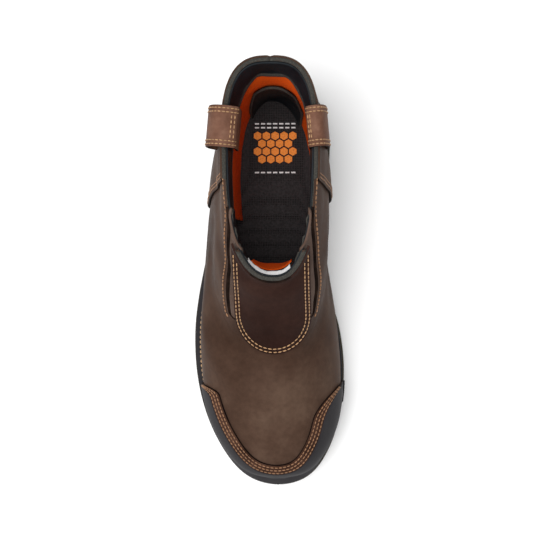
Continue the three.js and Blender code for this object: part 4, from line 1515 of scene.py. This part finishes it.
PANEL_ROWS_IN = (1.5, 3.9)
panel_stitches = bmesh.new()
for inset in PANEL_ROWS_IN:
    half = FRONT_PANEL_WIDTH / 2 - inset
    reach = FRONT_PANEL_END - FRONT_PANEL_CORNER - inset
    top = collar_front(panel_tree, half) + 1.5
    left = [from_above(panel_tree, -half, mix(top, FRONT_PANEL_CORNER, k / 30)) for k in range(30)]
    bend = []
    for k in range(41):
        angle = math.pi * k / 40
        bend.append(
            from_above(panel_tree, -half * math.cos(angle), FRONT_PANEL_CORNER + reach * math.sin(angle))
        )
    right = [from_above(panel_tree, half, mix(FRONT_PANEL_CORNER, top, (k + 1) / 30)) for k in range(30)]
    sew(panel_stitches, panel_tree, left + bend + right)
put(panel_stitches, "front_panel_stitches", tan_thread, "panel_leather")

QUARTER_ROW_IN = 3.2
COLLAR_ROW_DOWN = 0.6
COLLAR_ROW_START = 62
quarter_stitches = bmesh.new()
for side in (-1, 1):
    line = []
    for k in range(20):
        along = mix(COLLAR_ROW_START, GORE_REAR_AT_COLLAR - QUARTER_ROW_IN, k / 20)
        tree = panel_tree if along < BACK_PANEL_AT_COLLAR else skin_tree
        line.append(from_side(tree, side, along, COLLAR_HEIGHT - COLLAR_ROW_DOWN))
    for k in range(60):
        spot = window_edge(k / 60, False)
        ahead = (window_edge(k / 60 + 0.01, False) - spot).normalized()
        spot += Vector((ahead.y, -ahead.x)) * QUARTER_ROW_IN
        if spot.y < COLLAR_HEIGHT - COLLAR_ROW_DOWN:
            line.append(from_side(skin_tree, side, spot.x, spot.y))
    for along, z in ((GORE_END - 1, GORE_END_HEIGHT - 3.4), (GORE_END + 3, GORE_END_HEIGHT - 3.2)):
        line.append(from_side(skin_tree, side, along, z))
    line = [spot for spot in line if spot is not None]
    sew(quarter_stitches, skin_tree, line, radius=0.6, lift=0.3)
put(quarter_stitches, "quarter_stitches", worn_thread, "upper_leather")

BACK_ROWS_IN = (2.4, 5)
back_stitches = bmesh.new()
for side in (-1, 1):
    for inset in BACK_ROWS_IN:
        line = []
        for k in range(60):
            z = mix(COLLAR_HEIGHT - 3, 32, k / 59)
            line.append(from_side(panel_tree, side, back_panel_front(z) - inset, z))
        sew(back_stitches, panel_tree, [spot for spot in line if spot is not None])
put(back_stitches, "back_panel_stitches", worn_thread, "panel_leather")

BAND_ROWS_SHARE = (0.16, 0.48, 0.8)
BAND_SEWN = (0.012, 0.988)
BAND_STITCH = (3.1, 2.7, 0.48)
band_stitches = bmesh.new()
for share in BAND_ROWS_SHARE:
    line = [band_place(mix(*BAND_SEWN, k / 120), share) for k in range(121)]
    sew(band_stitches, band_tree, line, *BAND_STITCH)
put(band_stitches, "toe_band_stitches", worn_thread, "band_leather")

LOOP_ROWS_IN = (2, 4.6)
LOOP_SEWN_FROM = 0.13
LOOP_CROSS_ROWS = (0.2, 0.25)
loop_stitches = bmesh.new()
for side in (-1, 1):
    strap = bpy.data.objects["pull_loop_lateral_leather" if side < 0 else "pull_loop_medial_leather"]
    loop_bm = bmesh.new()
    loop_bm.from_mesh(strap.data)
    loop_tree = BVHTree.FromBMesh(loop_bm)
    loop_bm.free()
    for edge in (-1, 1):
        for inset in LOOP_ROWS_IN:
            across = edge * (STRAP_WIDTH / 2 - inset)
            line = [strap_place(side, across, mix(LOOP_SEWN_FROM, 0.97, k / 60), 0.5) for k in range(61)]
            sew(loop_stitches, loop_tree, line, 3.2, 2.8, 0.48)
    for share in LOOP_CROSS_ROWS:
        reach = STRAP_WIDTH / 2 - LOOP_ROWS_IN[-1] - 1.5
        line = [strap_place(side, mix(-reach, reach, k / 12), share, 0.5) for k in range(13)]
        sew(loop_stitches, loop_tree, line, 3.2, 2.8, 0.48)
put(loop_stitches, "loop_stitches", tan_thread, "loop_leather")

WELT_ROW_IN = 5
WELT_ROW_FROM = 92
WELT_ROW_TO = 247
WELT_PITCH = 3.8
welt_stitches = bmesh.new()
hole_shade_discs = bmesh.new()
for side in (-1, 1):
    first = math.acos(1 - 2 * WELT_ROW_FROM / SOLE_LENGTH) / (2 * math.pi)
    final = math.acos(1 - 2 * WELT_ROW_TO / SOLE_LENGTH) / (2 * math.pi)
    line = []
    for k in range(120):
        turn = mix(first, final, k / 119)
        spot = sole_edge(turn if side < 0 else 1 - turn, WELT_ROW_IN)
        line.append(at(spot.x, spot.y, welt_top(spot.y)))
    count = round(sum((b - a).length for a, b in zip(line, line[1:])) / (WELT_PITCH * MM))
    for k in range(count):
        place = (k + 0.5) / count * (len(line) - 1)
        i = int(place)
        spot = line[i].lerp(line[min(i + 1, len(line) - 1)], place - i)
        run = (line[min(i + 1, len(line) - 1)] - line[i - 1]).normalized()
        aside = Vector((0, 0, 1)).cross(run).normalized()
        turn = Matrix((run, aside, run.cross(aside))).transposed().to_4x4()
        size = Matrix.Diagonal((1.35 * MM, 0.62 * MM, 0.55 * MM, 1))
        bmesh.ops.create_uvsphere(
            welt_stitches, u_segments=8, v_segments=6, radius=1,
            matrix=Matrix.Translation(spot + Vector((0, 0, 0.1 * MM))) @ turn @ size,
        )
        # Painted shade: a flat near-black disc on the welt between stitches stands for the shade inside
        # each awl hole.
        hole = spot + run * WELT_PITCH / 2 * MM
        size = Matrix.Diagonal((0.6 * MM, 0.75 * MM, 0.12 * MM, 1))
        bmesh.ops.create_uvsphere(
            hole_shade_discs, u_segments=8, v_segments=5, radius=1,
            matrix=Matrix.Translation(hole + Vector((0, 0, 0.02 * MM))) @ turn @ size,
        )
put(welt_stitches, "welt_stitches", waxed_thread("welt_thread", (0.5, 0.31, 0.16)), "welt_rubber")
# Near-black finish for the painted shade of the awl holes.
hole_shade = plain_finish("awl_hole_painted_shade", (0.002, 0.002, 0.002), 0.9, 2000, 0.1, 0.5)
put(hole_shade_discs, "welt_awl_holes", hole_shade, "welt_rubber")

# Camera, floor and light
# The view is from straight above, a little to the medial side, through a long lens.
camera = bpy.data.objects.new("camera", bpy.data.cameras.new("camera"))
bpy.context.scene.collection.objects.link(camera)
bpy.context.scene.camera = camera
CAMERA_X = 0.0675
CAMERA_Y = 0.0075
CAMERA_HEIGHT = 1.4
camera.location = (CAMERA_X, CAMERA_Y, CAMERA_HEIGHT)
camera.rotation_euler = (0, math.atan(CAMERA_X / CAMERA_HEIGHT), 0)
camera.data.lens = 120.4
camera.data.sensor_width = 36

world = bpy.data.worlds.new("studio")
bpy.context.scene.world = world
world.use_nodes = True
world.node_tree.nodes["Background"].inputs["Color"].default_value = (1, 1, 1, 1)
world.node_tree.nodes["Background"].inputs["Strength"].default_value = 0.46
bpy.context.scene.view_settings.view_transform = "Standard"

bpy.ops.mesh.primitive_plane_add(size=6)
floor = bpy.context.object
floor.name = "floor"
floor_finish, nodes, links = new_material("floor_paper")
nodes["Principled BSDF"].inputs["Base Color"].default_value = (0.95, 0.95, 0.95, 1)
nodes["Principled BSDF"].inputs["Roughness"].default_value = 0.9
floor.data.materials.append(floor_finish)

LIGHTS = (
    # place, size across, power
    ((-0.68, -0.4, 2.1), 2.4, 56),
    ((0.0, 0.1, 2.3), 1.2, 18),
)
for place, size, power in LIGHTS:
    lamp = bpy.data.objects.new("lamp", bpy.data.lights.new("lamp", "AREA"))
    lamp.data.shape = "SQUARE"
    lamp.data.size = size
    lamp.data.energy = power
    lamp.location = place
    lamp.rotation_euler = (-Vector(place)).to_track_quat("-Z", "Y").to_euler()
    bpy.context.scene.collection.objects.link(lamp)
